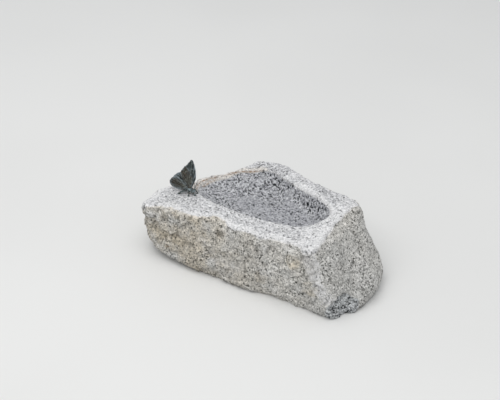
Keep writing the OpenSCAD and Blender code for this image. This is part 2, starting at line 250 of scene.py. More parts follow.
class Grit:
    """Repeatable roughness in space, for surfaces that are shaped point by point."""

    @staticmethod
    def random(cells: np.ndarray, seed: int) -> np.ndarray:
        """Gives each whole-number place its own number from 0 to 1."""
        mixed = cells.astype(np.int64) @ np.array([374761393, 668265263, 1442695041])
        mixed = (mixed + seed * 974634777) & 0xFFFFFFFF
        mixed = ((mixed ^ (mixed >> 13)) * 1274126177) & 0xFFFFFFFF
        mixed = ((mixed ^ (mixed >> 15)) * 1103515245) & 0xFFFFFFFF
        return (mixed ^ (mixed >> 16)) / 4294967296

    @staticmethod
    def stone_corner(cells: np.ndarray) -> np.ndarray:
        """Gives each whole-number place the number from 0 to 1 that the solid's own lumps use."""
        value = np.sin(np.radians(cells @ np.array([743.1, 1187.7, 2113.3]))) * 4375.85
        return value - np.floor(value)

    @staticmethod
    def blended(points: np.ndarray, size: float, corner: Callable[[np.ndarray], np.ndarray]) -> np.ndarray:
        """Blends the numbers at the corners of a grid into smooth lumps, from -1 to 1.

        Args:
            points: rows of coordinates.
            size: the grid's step.
            corner: gives the number of each whole-number place.

        Returns:
            One number per point.
        """
        place = points / size
        base = np.floor(place)
        inside = place - base
        soft = inside * inside * (3 - 2 * inside)
        total = np.zeros(len(points))
        for step in np.ndindex(2, 2, 2):
            weight = np.prod(np.where(np.array(step), soft, 1 - soft), axis=1)
            total += weight * corner(base + np.array(step))
        return 2 * total - 1

    @classmethod
    def lumps(cls, points: np.ndarray, size: float) -> np.ndarray:
        """Gives the broad smooth lumps that the solid has too."""
        return cls.blended(points, size, cls.stone_corner)

    @classmethod
    def waves(cls, points: np.ndarray, size: float, seed: int) -> np.ndarray:
        """Gives smooth lumps of one size, from -1 to 1."""
        return cls.blended(points, size, lambda cells: cls.random(cells, seed))

    @classmethod
    def layers(cls, points: np.ndarray, size: float, count: int, seed: int) -> np.ndarray:
        """Adds lumps of smaller and smaller size."""
        total = np.zeros(len(points))
        for level in range(count):
            total += cls.waves(points, size / 2 ** level, seed + level) / 2 ** level
        return total

    @classmethod
    def facets(cls, points: np.ndarray, size: float, tilt: float, seed: int) -> np.ndarray:
        """Breaks space into cells and gives each its own tilted plane, as where rock splits.

        Args:
            points: rows of coordinates.
            size: the size of a facet.
            tilt: the slope of the facets.
            seed: which pattern.

        Returns:
            A height per point, in the unit of the points.
        """
        place = points / size
        base = np.floor(place)
        best = np.full(len(points), np.inf)
        height = np.zeros(len(points))
        for corner in np.ndindex(3, 3, 3):
            cell = base + np.array(corner) - 1
            spread = [cls.random(cell, seed + k) for k in range(3)]
            away = place - cell - np.stack(spread, axis=1)
            gap = (away * away).sum(axis=1)
            slope = np.stack([cls.random(cell, seed + 3 + k) - 0.5 for k in range(3)], axis=1)
            closer = gap < best
            best = np.where(closer, gap, best)
            plane = (away * slope).sum(axis=1) * tilt + (cls.random(cell, seed + 7) - 0.5) * 0.12
            height = np.where(closer, plane, height)
        return height * size


# Finishes

class Graph:
    """A node tree with short calls for the nodes that these finishes need."""

    def __init__(self, tree: bpy.types.NodeTree) -> None:
        """Keeps the tree, emptied."""
        self.tree = tree
        self.tree.nodes.clear()

    def node(self, kind: str, **settings: object) -> bpy.types.Node:
        """Adds a node and sets its properties."""
        made = self.tree.nodes.new(kind)
        for name, value in settings.items():
            setattr(made, name, value)
        return made

    def feed(self, socket: bpy.types.NodeSocket, value: object) -> None:
        """Links an output to a socket, or sets the socket to a plain value."""
        if isinstance(value, bpy.types.NodeSocket):
            self.tree.links.new(value, socket)
        elif isinstance(value, tuple) and len(value) == 3 and socket.type == "RGBA":
            socket.default_value = (*value, 1.0)
        else:
            socket.default_value = value

    def fed(self, kind: str, inputs: dict[object, object], **settings: object) -> bpy.types.Node:
        """Adds a node, sets its properties and feeds its inputs.

        Args:
            kind: Blender's name for the node.
            inputs: what goes into each input, by the input's name or number.
            settings: the node's own properties.

        Returns:
            The new node.
        """
        made = self.node(kind, **settings)
        for label, value in inputs.items():
            self.feed(made.inputs[label], value)
        return made

    def math(self, operation: str, a: object, b: object) -> bpy.types.NodeSocket:
        """Works out one number from two."""
        return self.fed("ShaderNodeMath", {0: a, 1: b}, operation=operation).outputs[0]

    def plus(self, a: object, b: object) -> bpy.types.NodeSocket:
        """Adds two numbers."""
        return self.math("ADD", a, b)

    def minus(self, a: object, b: object) -> bpy.types.NodeSocket:
        """Takes the second number from the first."""
        return self.math("SUBTRACT", a, b)

    def times(self, a: object, b: object) -> bpy.types.NodeSocket:
        """Multiplies two numbers."""
        return self.math("MULTIPLY", a, b)

    def between(self, value: object, low: float, high: float) -> bpy.types.NodeSocket:
        """Rises smoothly from 0 at low to 1 at high."""
        inputs = {"Value": value, "From Min": low, "From Max": high}
        return self.fed("ShaderNodeMapRange", inputs, interpolation_type="SMOOTHSTEP").outputs["Result"]

    def blend(self, share: object, a: object, b: object, how: str = "MIX") -> bpy.types.NodeSocket:
        """Blends two colours.

        Args:
            share: how much of the second colour.
            a: the first colour.
            b: the second colour.
            how: Blender's name for the way of blending.

        Returns:
            The colour that results.
        """
        made = self.fed("ShaderNodeMix", {0: share, 6: a, 7: b}, data_type="RGBA", blend_type=how)
        return made.outputs[2]

    def noise(self, place: object, size: float, detail: float = 3.0,
              rough: float = 0.55) -> bpy.types.NodeSocket:
        """Gives cloudy numbers with lumps of about one size."""
        return self.cloud(place, 1 / size, detail, rough)

    def cloud(self, place: object, scale: object, detail: float, rough: float) -> bpy.types.NodeSocket:
        """Gives cloudy numbers at a scale that may come from another node."""
        inputs = {"Vector": place, "Scale": scale, "Detail": detail, "Roughness": rough}
        return self.fed("ShaderNodeTexNoise", inputs).outputs["Fac"]

    def parted(self, colour: object) -> list[bpy.types.NodeSocket]:
        """Takes a colour apart into three numbers."""
        return list(self.fed("ShaderNodeSeparateColor", {0: colour}).outputs)[:3]

    def grey(self, value: object) -> bpy.types.NodeSocket:
        """Turns a number into a grey."""
        return self.fed("ShaderNodeCombineColor", {0: value, 1: value, 2: value}).outputs[0]

    def cells(self, place: object, scale: object) -> bpy.types.Node:
        """Adds a texture of round-cornered cells, each with its own random colour."""
        return self.fed("ShaderNodeTexVoronoi", {"Vector": place, "Scale": scale})

    def kept(self, name: str) -> bpy.types.NodeSocket:
        """Reads a number that the mesh keeps at its points."""
        return self.node("ShaderNodeAttribute", attribute_name=name).outputs["Fac"]

    def warped(self, place: object, size: float, reach: float) -> bpy.types.NodeSocket:
        """Shifts places a little, so that a pattern on them loses its straight edges."""
        cloud = self.fed("ShaderNodeTexNoise", {"Vector": place, "Scale": 1 / size}).outputs["Color"]
        shift = self.moved(cloud, (-0.5, -0.5, -0.5))
        scaled = self.fed("ShaderNodeVectorMath", {0: shift, "Scale": reach}, operation="SCALE")
        return self.moved(place, scaled.outputs[0])

    def moved(self, place: object, shift: object) -> bpy.types.NodeSocket:
        """Adds two places."""
        return self.fed("ShaderNodeVectorMath", {0: place, 1: shift}, operation="ADD").outputs[0]


def new_group(name: str, inputs: dict[str, tuple[str, object]], outputs: dict[str, str]) -> tuple:
    """Starts a shader node group with named sockets.

    Args:
        name: the group's name.
        inputs: each input's name with its socket kind and starting value.
        outputs: each output's name with its socket kind.

    Returns:
        The group, its graph, its input node and its output node.
    """
    group = bpy.data.node_groups.new(name, "ShaderNodeTree")
    graph = Graph(group)
    for label, (kind, start) in inputs.items():
        socket = group.interface.new_socket(name=label, in_out="INPUT", socket_type=kind)
        if start is not None:
            socket.default_value = start
    for label, kind in outputs.items():
        group.interface.new_socket(name=label, in_out="OUTPUT", socket_type=kind)
    return group, graph, graph.node("NodeGroupInput"), graph.node("NodeGroupOutput")


NUMBER = "NodeSocketFloat"
COLOUR = "NodeSocketColor"
VECTOR = "NodeSocketVector"


def crystal_group() -> bpy.types.NodeTree:
    """Builds the shared effect of granite's crystals: pale feldspar, grey quartz and black mica.

    Returns:
        The node group. It puts out a colour and a height.
    """
    name = "granite_crystals"
    if name in bpy.data.node_groups:
        return bpy.data.node_groups[name]
    inputs = {
        "Place": (VECTOR, None),
        "Crystal Size": (NUMBER, 1.5 * MM),
        "Mica Level": (NUMBER, 0.62),
        "Feldspar": (COLOUR, (0.6, 0.6, 0.58, 1.0)),
        "Quartz": (COLOUR, (0.4, 0.4, 0.4, 1.0)),
        "Mica": (COLOUR, (0.06, 0.06, 0.07, 1.0)),
    }
    group, graph, given, put = new_group(name, inputs, {"Color": COLOUR, "Height": NUMBER})
    place = graph.warped(given.outputs["Place"], 1.6 * MM, 0.9 * MM)
    coarse = graph.math("DIVIDE", 1.0, given.outputs["Crystal Size"])
    large = graph.parted(graph.cells(place, coarse).outputs["Color"])
    small = graph.parted(graph.cells(place, graph.times(coarse, 2.1)).outputs["Color"])
    tone = graph.plus(graph.times(large[0], 0.6), graph.times(small[1], 0.4))
    pale = graph.blend(graph.between(tone, 0.22, 0.78), given.outputs["Quartz"], given.outputs["Feldspar"])
    flake = graph.cloud(place, graph.times(coarse, 0.62), 2.0, 0.6)
    flake = graph.plus(flake, graph.times(graph.minus(large[2], 0.5), 0.22))
    clump = graph.times(graph.minus(graph.noise(place, 17 * MM, 2.0), 0.5), 0.22)
    over = graph.minus(graph.plus(flake, clump), given.outputs["Mica Level"])
    flake = graph.between(over, 0.0, 0.05)
    graph.feed(put.inputs["Color"], graph.blend(flake, pale, given.outputs["Mica"]))
    graph.feed(put.inputs["Height"], graph.minus(small[2], graph.times(flake, 0.6)))
    return group


def patina_group() -> bpy.types.NodeTree:
    """Builds the shared effect of old bronze: brown metal under cloudy blue-green patina.

    Returns:
        The node group. It puts out a colour, a roughness, a metal share and a height.
    """
    name = "bronze_patina"
    if name in bpy.data.node_groups:
        return bpy.data.node_groups[name]
    inputs = {
        "Place": (VECTOR, None),
        "Relief": (NUMBER, 0.0),
        "Cover": (NUMBER, 0.5),
        "Metal": (COLOUR, (0.07, 0.05, 0.035, 1.0)),
        "Patina": (COLOUR, (0.08, 0.12, 0.12, 1.0)),
        "Bloom": (COLOUR, (0.22, 0.30, 0.30, 1.0)),
    }
    outputs = {"Color": COLOUR, "Roughness": NUMBER, "Metallic": NUMBER, "Height": NUMBER}
    group, graph, given, put = new_group(name, inputs, outputs)
    place = given.outputs["Place"]
    cloud = graph.noise(place, 6 * MM, 4.0, 0.6)
    lifted = graph.plus(cloud, graph.times(given.outputs["Relief"], -0.12))
    edge = graph.minus(1.0, given.outputs["Cover"])
    covered = graph.between(graph.minus(lifted, edge), -0.12, 0.12)
    colour = graph.blend(covered, given.outputs["Metal"], given.outputs["Patina"])
    speck = graph.noise(place, 1.1 * MM, 2.0, 0.7)
    bloom = graph.times(graph.between(speck, 0.56, 0.74), 0.75)
    colour = graph.blend(bloom, colour, given.outputs["Bloom"])
    graph.feed(put.inputs["Color"], colour)
    rough = graph.plus(0.42, graph.times(covered, 0.26))
    graph.feed(put.inputs["Roughness"], rough)
    graph.feed(put.inputs["Metallic"], graph.minus(0.62, graph.times(covered, 0.45)))
    graph.feed(put.inputs["Height"], graph.plus(speck, graph.times(covered, 0.4)))
    return group


def start_material(name: str) -> tuple[bpy.types.Material, Graph, bpy.types.Node, bpy.types.NodeSocket]:
    """Starts a material with one Principled shader and the object's own coordinates.

    Args:
        name: the material's name.

    Returns:
        The material, its graph, its shader and the coordinates' socket.
    """
    material = bpy.data.materials.new(name)
    material.use_nodes = True
    graph = Graph(material.node_tree)
    shader = graph.node("ShaderNodeBsdfPrincipled")
    out = graph.node("ShaderNodeOutputMaterial")
    graph.feed(out.inputs["Surface"], shader.outputs["BSDF"])
    place = graph.node("ShaderNodeTexCoord").outputs["Object"]
    return material, graph, shader, place


def add_bump(graph: Graph, shader: bpy.types.Node, height: object, depth: float, strength: float) -> None:
    """Lets a height turn the shading of a surface.

    Args:
        graph: the material's graph.
        shader: its Principled shader.
        height: the height's socket.
        depth: how deep the relief is.
        strength: how strongly it shows.
    """
    inputs = {"Height": height, "Distance": depth, "Strength": strength}
    bump = graph.fed("ShaderNodeBump", inputs)
    graph.feed(shader.inputs["Normal"], bump.outputs["Normal"])


@dataclass(frozen=True)
class CrystalMix:
    """The minerals of one dressed face of the granite."""

    feldspar: Colour
    quartz: Colour
    mica: Colour
    mica_level: float
    crystal: float = 1.4 * MM

    def placed(self, graph: Graph, place: object) -> bpy.types.Node:
        """Puts the crystal effect in a material with this mix's values."""
        inputs = {
            "Place": place,
            "Crystal Size": self.crystal,
            "Mica Level": self.mica_level,
            "Feldspar": self.feldspar,
            "Quartz": self.quartz,
            "Mica": self.mica,
        }
        return graph.fed("ShaderNodeGroup", inputs, node_tree=crystal_group())

    def colour(self, graph: Graph, place: object) -> bpy.types.NodeSocket:
        """Puts the crystal effect in a material and gives only its colour."""
        return self.placed(graph, place).outputs["Color"]


@dataclass(frozen=True)
class GraniteFinish:
    """Grey granite: split faces, crushed pale ridges, bush-hammered basin, rust, a fresh break, and painted
    shade in the hollows.
    """

    name: str = "grey_granite"
    split: CrystalMix = CrystalMix(
        (0.84, 0.83, 0.805), (0.43, 0.425, 0.41), (0.065, 0.065, 0.058), 0.595, 1.75 * MM)
    pitched: CrystalMix = CrystalMix(
        (0.80, 0.80, 0.815), (0.40, 0.402, 0.415), (0.10, 0.10, 0.105), 0.60, 2.0 * MM)
    floor: CrystalMix = CrystalMix(
        (0.56, 0.565, 0.595), (0.27, 0.275, 0.295), (0.04, 0.042, 0.05), 0.585, 2.0 * MM)
    wall: CrystalMix = CrystalMix(
        (0.70, 0.705, 0.73), (0.25, 0.255, 0.275), (0.016, 0.017, 0.02), 0.555, 2.1 * MM)
    crushed: CrystalMix = CrystalMix(
        (0.93, 0.925, 0.93), (0.64, 0.64, 0.645), (0.22, 0.22, 0.225), 0.64, 2.0 * MM)
    broken: CrystalMix = CrystalMix(
        (0.85, 0.875, 0.89), (0.31, 0.322, 0.335), (0.022, 0.025, 0.028), 0.562, 2.3 * MM)
    weathered: Colour = (0.94, 0.85, 0.71)
    beige: Colour = (1.0, 0.93, 0.84)
    rust: Colour = (0.27, 0.17, 0.10)
    # Near-black colour of the painted shade in the hollows.
    pit: Colour = (0.10, 0.10, 0.095)
    patch_size: float = 30 * MM
    cloud_size: float = 19 * MM
    fleck_size: float = 4.2 * MM
    grain_size: float = 1.5 * MM
    grain_depth: float = 0.7 * MM

    def material(self) -> bpy.types.Material:
        """Builds the granite's material from the numbers that the block keeps at its points."""
        material, graph, shader, place = start_material(self.name)
        split = self.split.placed(graph, place)
        patches = graph.noise(place, self.patch_size, 3.0, 0.6)
        cloud = graph.times(graph.noise(place, self.cloud_size, 4.0, 0.65), 0.30)
        tone = graph.plus(graph.plus(0.85, cloud), graph.kept("bright"))
        colour = graph.blend(1.0, split.outputs["Color"], graph.grey(tone), "MULTIPLY")
        hammered = graph.blend(graph.kept("wall"), self.floor.colour(graph, place),
                               self.wall.colour(graph, place))
        colour = graph.blend(graph.kept("top"), colour, self.pitched.colour(graph, place))
        colour = graph.blend(graph.kept("basin"), colour, hammered)
        colour = graph.blend(graph.kept("broken"), colour, self.broken.colour(graph, place))
        flecks = graph.noise(place, self.fleck_size, 3.0, 0.65)
        edge = graph.plus(graph.kept("pale"), graph.times(graph.minus(flecks, 0.5), 2.2))
        pale = graph.between(edge, 0.25, 0.75)
        colour = graph.blend(pale, colour, self.crushed.colour(graph, place))
        warm = graph.times(graph.kept("warm"), graph.between(patches, 0.22, 0.72))
        colour = graph.blend(warm, colour, graph.blend(1.0, colour, self.weathered, "MULTIPLY"))
        colour = graph.blend(graph.kept("beige"), colour, graph.blend(1.0, colour, self.beige, "MULTIPLY"))
        relief = graph.kept("relief")
        # Painted shade: the hollows of the relief are darkened towards a near-black colour.
        painted_hollow_shade = graph.times(graph.between(graph.times(relief, -1.0), 0.2, 1.0), 0.30)
        colour = graph.blend(painted_hollow_shade, colour, self.pit)
        stain = graph.times(graph.kept("stain"), graph.between(flecks, 0.36, 0.62))
        colour = graph.blend(stain, colour, self.rust)
        graph.feed(shader.inputs["Base Color"], colour)
        shader.inputs["Roughness"].default_value = 0.9
        shader.inputs["Specular IOR Level"].default_value = 0.3
        grain = graph.noise(place, self.grain_size, 3.0, 0.7)
        height = graph.plus(grain, graph.times(split.outputs["Height"], 0.35))
        add_bump(graph, shader, height, self.grain_depth, 0.75)
        return material


@dataclass(frozen=True)
class BronzeFinish:
    """Cast bronze with patina. Pieces differ in how much patina covers the brown metal."""

    name: str
    cover: float
    metal: Colour = (0.046, 0.036, 0.022)
    patina: Colour = (0.034, 0.031, 0.021)
    inner_patina: Colour = (0.070, 0.098, 0.112)
    bloom: Colour = (0.31, 0.335, 0.30)
    frost: Colour = (0.32, 0.375, 0.41)
    soot: Colour = (0.026, 0.024, 0.021)
    rust: Colour = (0.15, 0.080, 0.045)
    spot_size: float = 3.4 * MM
    mottle_size: float = 3.6 * MM
    depth: float = 0.12 * MM

    def material(self) -> bpy.types.Material:
        """Builds the bronze's material from the numbers that each piece keeps at its points."""
        material, graph, shader, place = start_material(self.name)
        margin, inside = graph.kept("margin"), graph.kept("inside")
        # Both numbers add patina cover; on the body the first is raised at the head, which paints a
        # highlight there.
        worn_and_head_highlight = graph.plus(graph.times(margin, 0.35), graph.times(inside, 0.4))
        inputs = {
            "Place": place,
            "Relief": graph.kept("relief"),
            "Cover": graph.plus(self.cover, worn_and_head_highlight),
            "Metal": self.metal,
            "Patina": self.patina,
            "Bloom": self.bloom,
        }
        aged = graph.fed("ShaderNodeGroup", inputs, node_tree=patina_group())
        colour = graph.blend(graph.times(inside, 0.6), aged.outputs["Color"], self.inner_patina)
        spots = graph.between(graph.noise(place, self.spot_size, 3.0, 0.6), 0.54, 0.66)
        spots = graph.times(spots, graph.minus(0.85, graph.plus(margin, inside)))
        colour = graph.blend(graph.math("MAXIMUM", spots, 0.0), colour, self.rust)
        mottle = graph.noise(place, self.mottle_size, 4.0, 0.72)
        colour = graph.blend(graph.times(graph.between(mottle, 0.53, 0.62), 0.60), colour, self.bloom)
        # The pale border follows the wings' margins, and on the body it paints the head highlight.
        border = graph.times(graph.between(margin, 0.45, 0.80), graph.between(mottle, 0.36, 0.60))
        colour = graph.blend(graph.times(border, 0.62), colour, self.frost)
        colour = graph.blend(graph.times(graph.between(mottle, 0.50, 0.36), 0.75), colour, self.soot)
        streak = graph.kept("streak")
        dark = graph.times(graph.between(graph.times(streak, -1.0), 0.1, 0.9), 0.75)
        colour = graph.blend(dark, colour, self.soot)
        where = graph.plus(0.12, graph.plus(margin, graph.times(inside, 0.6)))
        shine = graph.times(graph.between(streak, 0.1, 0.8), where)
        colour = graph.blend(graph.times(shine, 0.8), colour, self.frost)
        crest = graph.times(graph.between(graph.kept("relief"), 0.55, 1.2), 0.55)
        colour = graph.blend(crest, colour, self.bloom)
        graph.feed(shader.inputs["Base Color"], colour)
        graph.feed(shader.inputs["Roughness"], aged.outputs["Roughness"])
        graph.feed(shader.inputs["Metallic"], graph.times(aged.outputs["Metallic"], 0.6))
        shader.inputs["Specular IOR Level"].default_value = 0.22
        add_bump(graph, shader, aged.outputs["Height"], self.depth, 0.6)
        return material


@dataclass(frozen=True)
class SteelFinish:
    """The plain threaded rod, slightly tarnished."""

    name: str = "tarnished_steel"
    steel: Colour = (0.56, 0.56, 0.55)
    tarnish: Colour = (0.30, 0.25, 0.20)
    cloud_size: float = 1.5 * MM

    def material(self) -> bpy.types.Material:
        """Builds the steel's material."""
        material, graph, shader, place = start_material(self.name)
        cloud = graph.noise(place, self.cloud_size, 4.0, 0.65)
        colour = graph.blend(graph.between(cloud, 0.5, 0.7), self.steel, self.tarnish)
        graph.feed(shader.inputs["Base Color"], colour)
        shader.inputs["Metallic"].default_value = 0.9
        graph.feed(shader.inputs["Roughness"], graph.plus(0.28, graph.times(cloud, 0.3)))
        return material


@dataclass(frozen=True)
class ResinFinish:
    """Cured grey adhesive with a little sand in it."""

    name: str = "cured_resin"
    resin: Colour = (0.30, 0.29, 0.27)
    sand: Colour = (0.48, 0.45, 0.40)
    grain_size: float = 0.7 * MM
    grain_depth: float = 0.1 * MM

    def material(self) -> bpy.types.Material:
        """Builds the resin's material."""
        material, graph, shader, place = start_material(self.name)
        grains = graph.noise(place, self.grain_size, 2.0, 0.6)
        colour = graph.blend(graph.between(grains, 0.5, 0.7), self.resin, self.sand)
        graph.feed(shader.inputs["Base Color"], colour)
        graph.feed(shader.inputs["Roughness"], graph.plus(0.45, graph.times(grains, 0.2)))
        add_bump(graph, shader, grains, self.grain_depth, 0.5)
        return material


# Places that the stone and the butterfly share

@dataclass(frozen=True)
class Setting:
    """The sloping rim plane and the butterfly's place on it, as in the part's source."""

    small_x: float = -172 * MM
    rim_small: float = 82 * MM
    rim_big: float = 107 * MM
    rim_length: float = 290 * MM
    seat_x: float = -125 * MM
    seat_y: float = -38 * MM
    turn: float = math.radians(8)

    @property
    def slope(self) -> float:
        """Rise of the rim plane for each metre towards the big end."""
        return (self.rim_big - self.rim_small) / self.rim_length

    def rim_height(self, x: np.ndarray) -> np.ndarray:
        """Height of the rim plane."""
        return self.rim_small + (x - self.small_x) * self.slope

    @property
    def seat(self) -> Vector:
        """The place on the stone right under the butterfly."""
        return Vector((self.seat_x, self.seat_y, self.rim_height(self.seat_x)))

    def stand(self) -> Matrix:
        """Turns the butterfly's own coordinates, x ahead and z up, into the frame's."""
        return Matrix.Translation(self.seat) @ Matrix.Rotation(self.turn, 4, "Z")

    def ground(self, x: float, y: float) -> float:
        """Height of the stone under a point of the butterfly's own coordinates."""
        return self.slope * (x * math.cos(self.turn) - y * math.sin(self.turn))


SETTING = Setting()


def finish_piece(obj: bpy.types.Object, name: str, material: bpy.types.Material,
                 node: str) -> None:
    """Names a piece, dresses it and hides the solid that it replaces.

    Args:
        obj: the piece, in its place.
        name: the piece's name.
        material: its finish.
        node: the solid that it replaces.
    """
    obj.name = name
    obj.data.name = name
    obj.data.materials.clear()
    obj.data.materials.append(material)
    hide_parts(node)
    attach(obj, BODY)
    faces = sum(len(p.vertices) - 2 for p in obj.data.polygons)
    LOG.info("%s: %d triangles", name, faces)


# The stone

def heading(angles: np.ndarray) -> np.ndarray:
    """Gives the plan direction of each angle, as rows of two."""
    return np.column_stack((np.cos(angles), np.sin(angles)))


@dataclass(frozen=True)
class BlockShape:
    """The block's smooth form: three outlines, the heights between them and the broad lumps.

    The outlines are shares of the length and width of the box that each one fills.
    """

    small_x: float = -172 * MM
    front_y: float = -100 * MM
    length: float = 344 * MM
    width: float = 200 * MM
    batter: float = 54 * MM
    batter_bow: float = 0.84
    toe: float = 22 * MM
    undercut_rise: float = 15 * MM
    undercut_length: float = 115 * MM
    under_inset: float = 5 * MM
    small_rim: float = 46 * MM
    big_rim: float = 33 * MM
    front_rim: float = 55 * MM
    back_rim: float = 26 * MM
    thin_rim: float = 8 * MM
    basin_depth: float = 40 * MM
    lip: float = 3 * MM
    ridge_round: float = 2.5 * MM
    ridge_crush: float = 4.2 * MM
    split_wave: float = 3 * MM
    split_lump: float = 2 * MM
    rim_lump: float = 1.6 * MM
    chip_at: Point = (159 * MM, -60 * MM, 16 * MM)
    chip_reach: float = 24 * MM
    chip_depth: float = 16 * MM
    seat_flat: float = 27 * MM
    seat_blend: float = 14 * MM
    spokes: int = 180
    corner_soft: float = math.radians(3.5)
    rim_form: Sequence[Flat] = (
        (0.012, 0), (0, 0.1), (0, 0.34), (0.065, 0.4), (0.112, 0.46), (0.122, 0.575), (0.19, 0.655),
        (0.215, 0.74), (0.248, 0.82), (0.262, 0.92), (0.32, 0.98), (0.37, 1), (0.445, 0.995),
        (0.54, 0.935), (0.64, 0.88), (0.75, 0.855), (0.87, 0.845), (0.945, 0.79), (0.985, 0.745),
        (0.955, 0.57), (0.985, 0.39), (1, 0.25), (0.985, 0.145), (0.93, 0.105), (0.86, 0.12),
        (0.75, 0.13), (0.66, 0.1), (0.6, 0.12), (0.52, 0.1), (0.43, 0.125), (0.35, 0.11),
        (0.25, 0.08), (0.1, 0.07),
    )
    foot_form: Sequence[Flat] = (
        (0.02, 0.09), (0.07, 0.04), (0.26, 0.03), (0.4, 0.06), (0.53, 0.065), (0.66, 0.105),
        (0.8, 0.12), (0.92, 0.12), (0.972, 0.155), (0.985, 0.29), (1, 0.44), (0.988, 0.59), (0.965, 0.73),
        (0.8, 0.86), (0.54, 0.9), (0.35, 0.97), (0.21, 0.9), (0.13, 0.68), (0.03, 0.42), (0, 0.2),
    )
    basin_form: Sequence[Flat] = (
        (0.01, 0.19), (0.07, 0.12), (0.19, 0.05), (0.44, 0.01), (0.62, 0), (0.78, 0.03), (0.9, 0.09),
        (0.97, 0.21), (1, 0.4), (0.985, 0.54), (0.93, 0.64), (0.8, 0.75), (0.62, 0.84), (0.47, 0.92),
        (0.36, 1), (0.28, 0.99), (0.23, 0.87), (0.1, 0.77), (0.06, 0.64), (0.015, 0.45), (0, 0.32),
    )

    @cached_property
    def rim_size(self) -> np.ndarray:
        """Length and width of the rim plane's outline."""
        return np.array((self.length - self.batter, self.width))

    @cached_property
    def basin_corner(self) -> np.ndarray:
        """The corner of the box that the basin's outline fills."""
        return np.array((self.small_x + self.small_rim, self.front_y + self.front_rim))

    @cached_property
    def basin_size(self) -> np.ndarray:
        """Length and width of the basin's outline."""
        rims = np.array((self.small_rim + self.big_rim, self.front_rim + self.back_rim))
        return self.rim_size - rims

    @cached_property
    def centre(self) -> np.ndarray:
        """The basin's middle, which all the spokes start from."""
        return self.basin_corner + self.basin_size / 2

    @cached_property
    def angles(self) -> np.ndarray:
        """The spokes' directions."""
        return np.arange(self.spokes) * 2 * math.pi / self.spokes

    def reach(self, outline: np.ndarray, angles: np.ndarray) -> np.ndarray:
        """Measures from the basin's middle to an outline.

        Args:
            outline: rows of the outline's corners.
            angles: the directions to measure in.

        Returns:
            One distance per direction.
        """
        toward = heading(angles)
        start = outline - self.centre
        side = np.roll(outline, -1, axis=0) - outline
        turn = toward[:, :1] * side[:, 1] - toward[:, 1:] * side[:, 0]
        turn = np.where(np.abs(turn) < 1e-12, 1e-12, turn)
        along = (start[:, 0] * side[:, 1] - start[:, 1] * side[:, 0]) / turn
        share = (start[:, 0] * toward[:, 1:] - start[:, 1] * toward[:, :1]) / turn
        hit = (share >= 0) & (share <= 1) & (along > 0)
        return np.where(hit, along, 0).max(axis=1)

    def filled(self, form: Sequence[Flat], corner: np.ndarray, size: np.ndarray) -> np.ndarray:
        """Softens an outline's corners and stretches it to fill its box.

        Args:
            form: the outline as shares of its box.
            corner: the box's lowest corner.
            size: the box's length and width.

        Returns:
            One plan point per spoke.
        """
        outline = corner + np.array(form) * size
        before = self.reach(outline, self.angles - self.corner_soft)
        after = self.reach(outline, self.angles + self.corner_soft)
        away = (before + 2 * self.reach(outline, self.angles) + after) / 4
        soft = self.centre + away[:, None] * heading(self.angles)
        lowest = soft.min(axis=0)
        return corner + (soft - lowest) * size / (soft.max(axis=0) - lowest)

    @cached_property
    def rim_line(self) -> np.ndarray:
        """Outline of the rim plane."""
        return self.filled(self.rim_form, np.array((self.small_x, self.front_y)), self.rim_size)

    @cached_property
    def foot_line(self) -> np.ndarray:
        """Outline of the foot."""
        size = np.array((self.length, self.width))
        return self.filled(self.foot_form, np.array((self.small_x, self.front_y)), size)

    @cached_property
    def basin_line(self) -> np.ndarray:
        """Outline of the basin, which leaves a rim of at least the thin rim's width."""
        free = self.filled(self.basin_form, self.basin_corner, self.basin_size) - self.centre
        angles = np.arctan2(free[:, 1], free[:, 0])
        most = self.reach(self.rim_line, angles) - self.thin_rim
        return self.centre + np.minimum(np.linalg.norm(free, axis=1), most)[:, None] * heading(angles)

    @cached_property
    def ridge(self) -> np.ndarray:
        """Size of the rounded ridge on each spoke, crushed unevenly along the front."""
        away = self.rim_line - self.centre
        angles = np.degrees(np.arctan2(away[:, 1], away[:, 0]))
        start = self.small_x + self.small_rim / 2
        front = ramp(self.rim_line[:, 0], start, start + 30 * MM)
        front *= ramp(-angles, -25, 5) * ramp(angles, -160, -135)
        flat = np.column_stack((self.rim_line, np.zeros(self.spokes)))
        uneven = 1 + 0.9 * Grit.lumps(flat, 23 * MM)
        return self.ridge_round + self.ridge_crush * (0.15 + 0.85 * front) * uneven

    def foot_height(self, x: np.ndarray) -> np.ndarray:
        """Height of the underside, which rises under the small end."""
        start = self.small_x + self.undercut_length
        return np.maximum(0, self.undercut_rise * (start - x) / self.undercut_length)

    def outward(self, line: np.ndarray, distance: np.ndarray) -> np.ndarray:
        """Moves the points of a line along their spokes."""
        away = line - self.centre
        return line + away * (distance / np.linalg.norm(away, axis=1))[:, None]

    def skin(self, plan: np.ndarray, height: np.ndarray, side: float = 0.0, up: float = 0.0) -> np.ndarray:
        """Places points of the block's skin with their share of the broad lumps.

        Args:
            plan: rows of plan points.
            height: their heights.
            side: how much the sideways lumps count.
            up: how much the upward lumps count.

        Returns:
            Rows of coordinates.
        """
        points = np.column_stack((plan, height))
        away = plan - self.centre
        toward = away / np.linalg.norm(away, axis=1)[:, None]
        seat_gap = np.linalg.norm(plan - np.array(SETTING.seat[:2]), axis=1)
        calm = ramp(seat_gap, self.seat_flat, self.seat_flat + self.seat_blend)
        chip_gap = np.linalg.norm(points - np.array(self.chip_at), axis=1) / self.chip_reach
        chip = self.chip_depth * np.clip(1 - chip_gap ** 2, 0, None)
        lump = self.split_lump * (Grit.lumps(points, 26 * MM) + 0.7 * Grit.lumps(points, 18 * MM))
        out = side * (self.split_wave * Grit.lumps(points, 47 * MM) + lump - chip)
        rise = up * calm * self.rim_lump * (Grit.lumps(points, 31 * MM) + 0.6 * Grit.lumps(points, 13 * MM))
        points[:, :2] += out[:, None] * toward
        points[:, 2] += rise
        return points

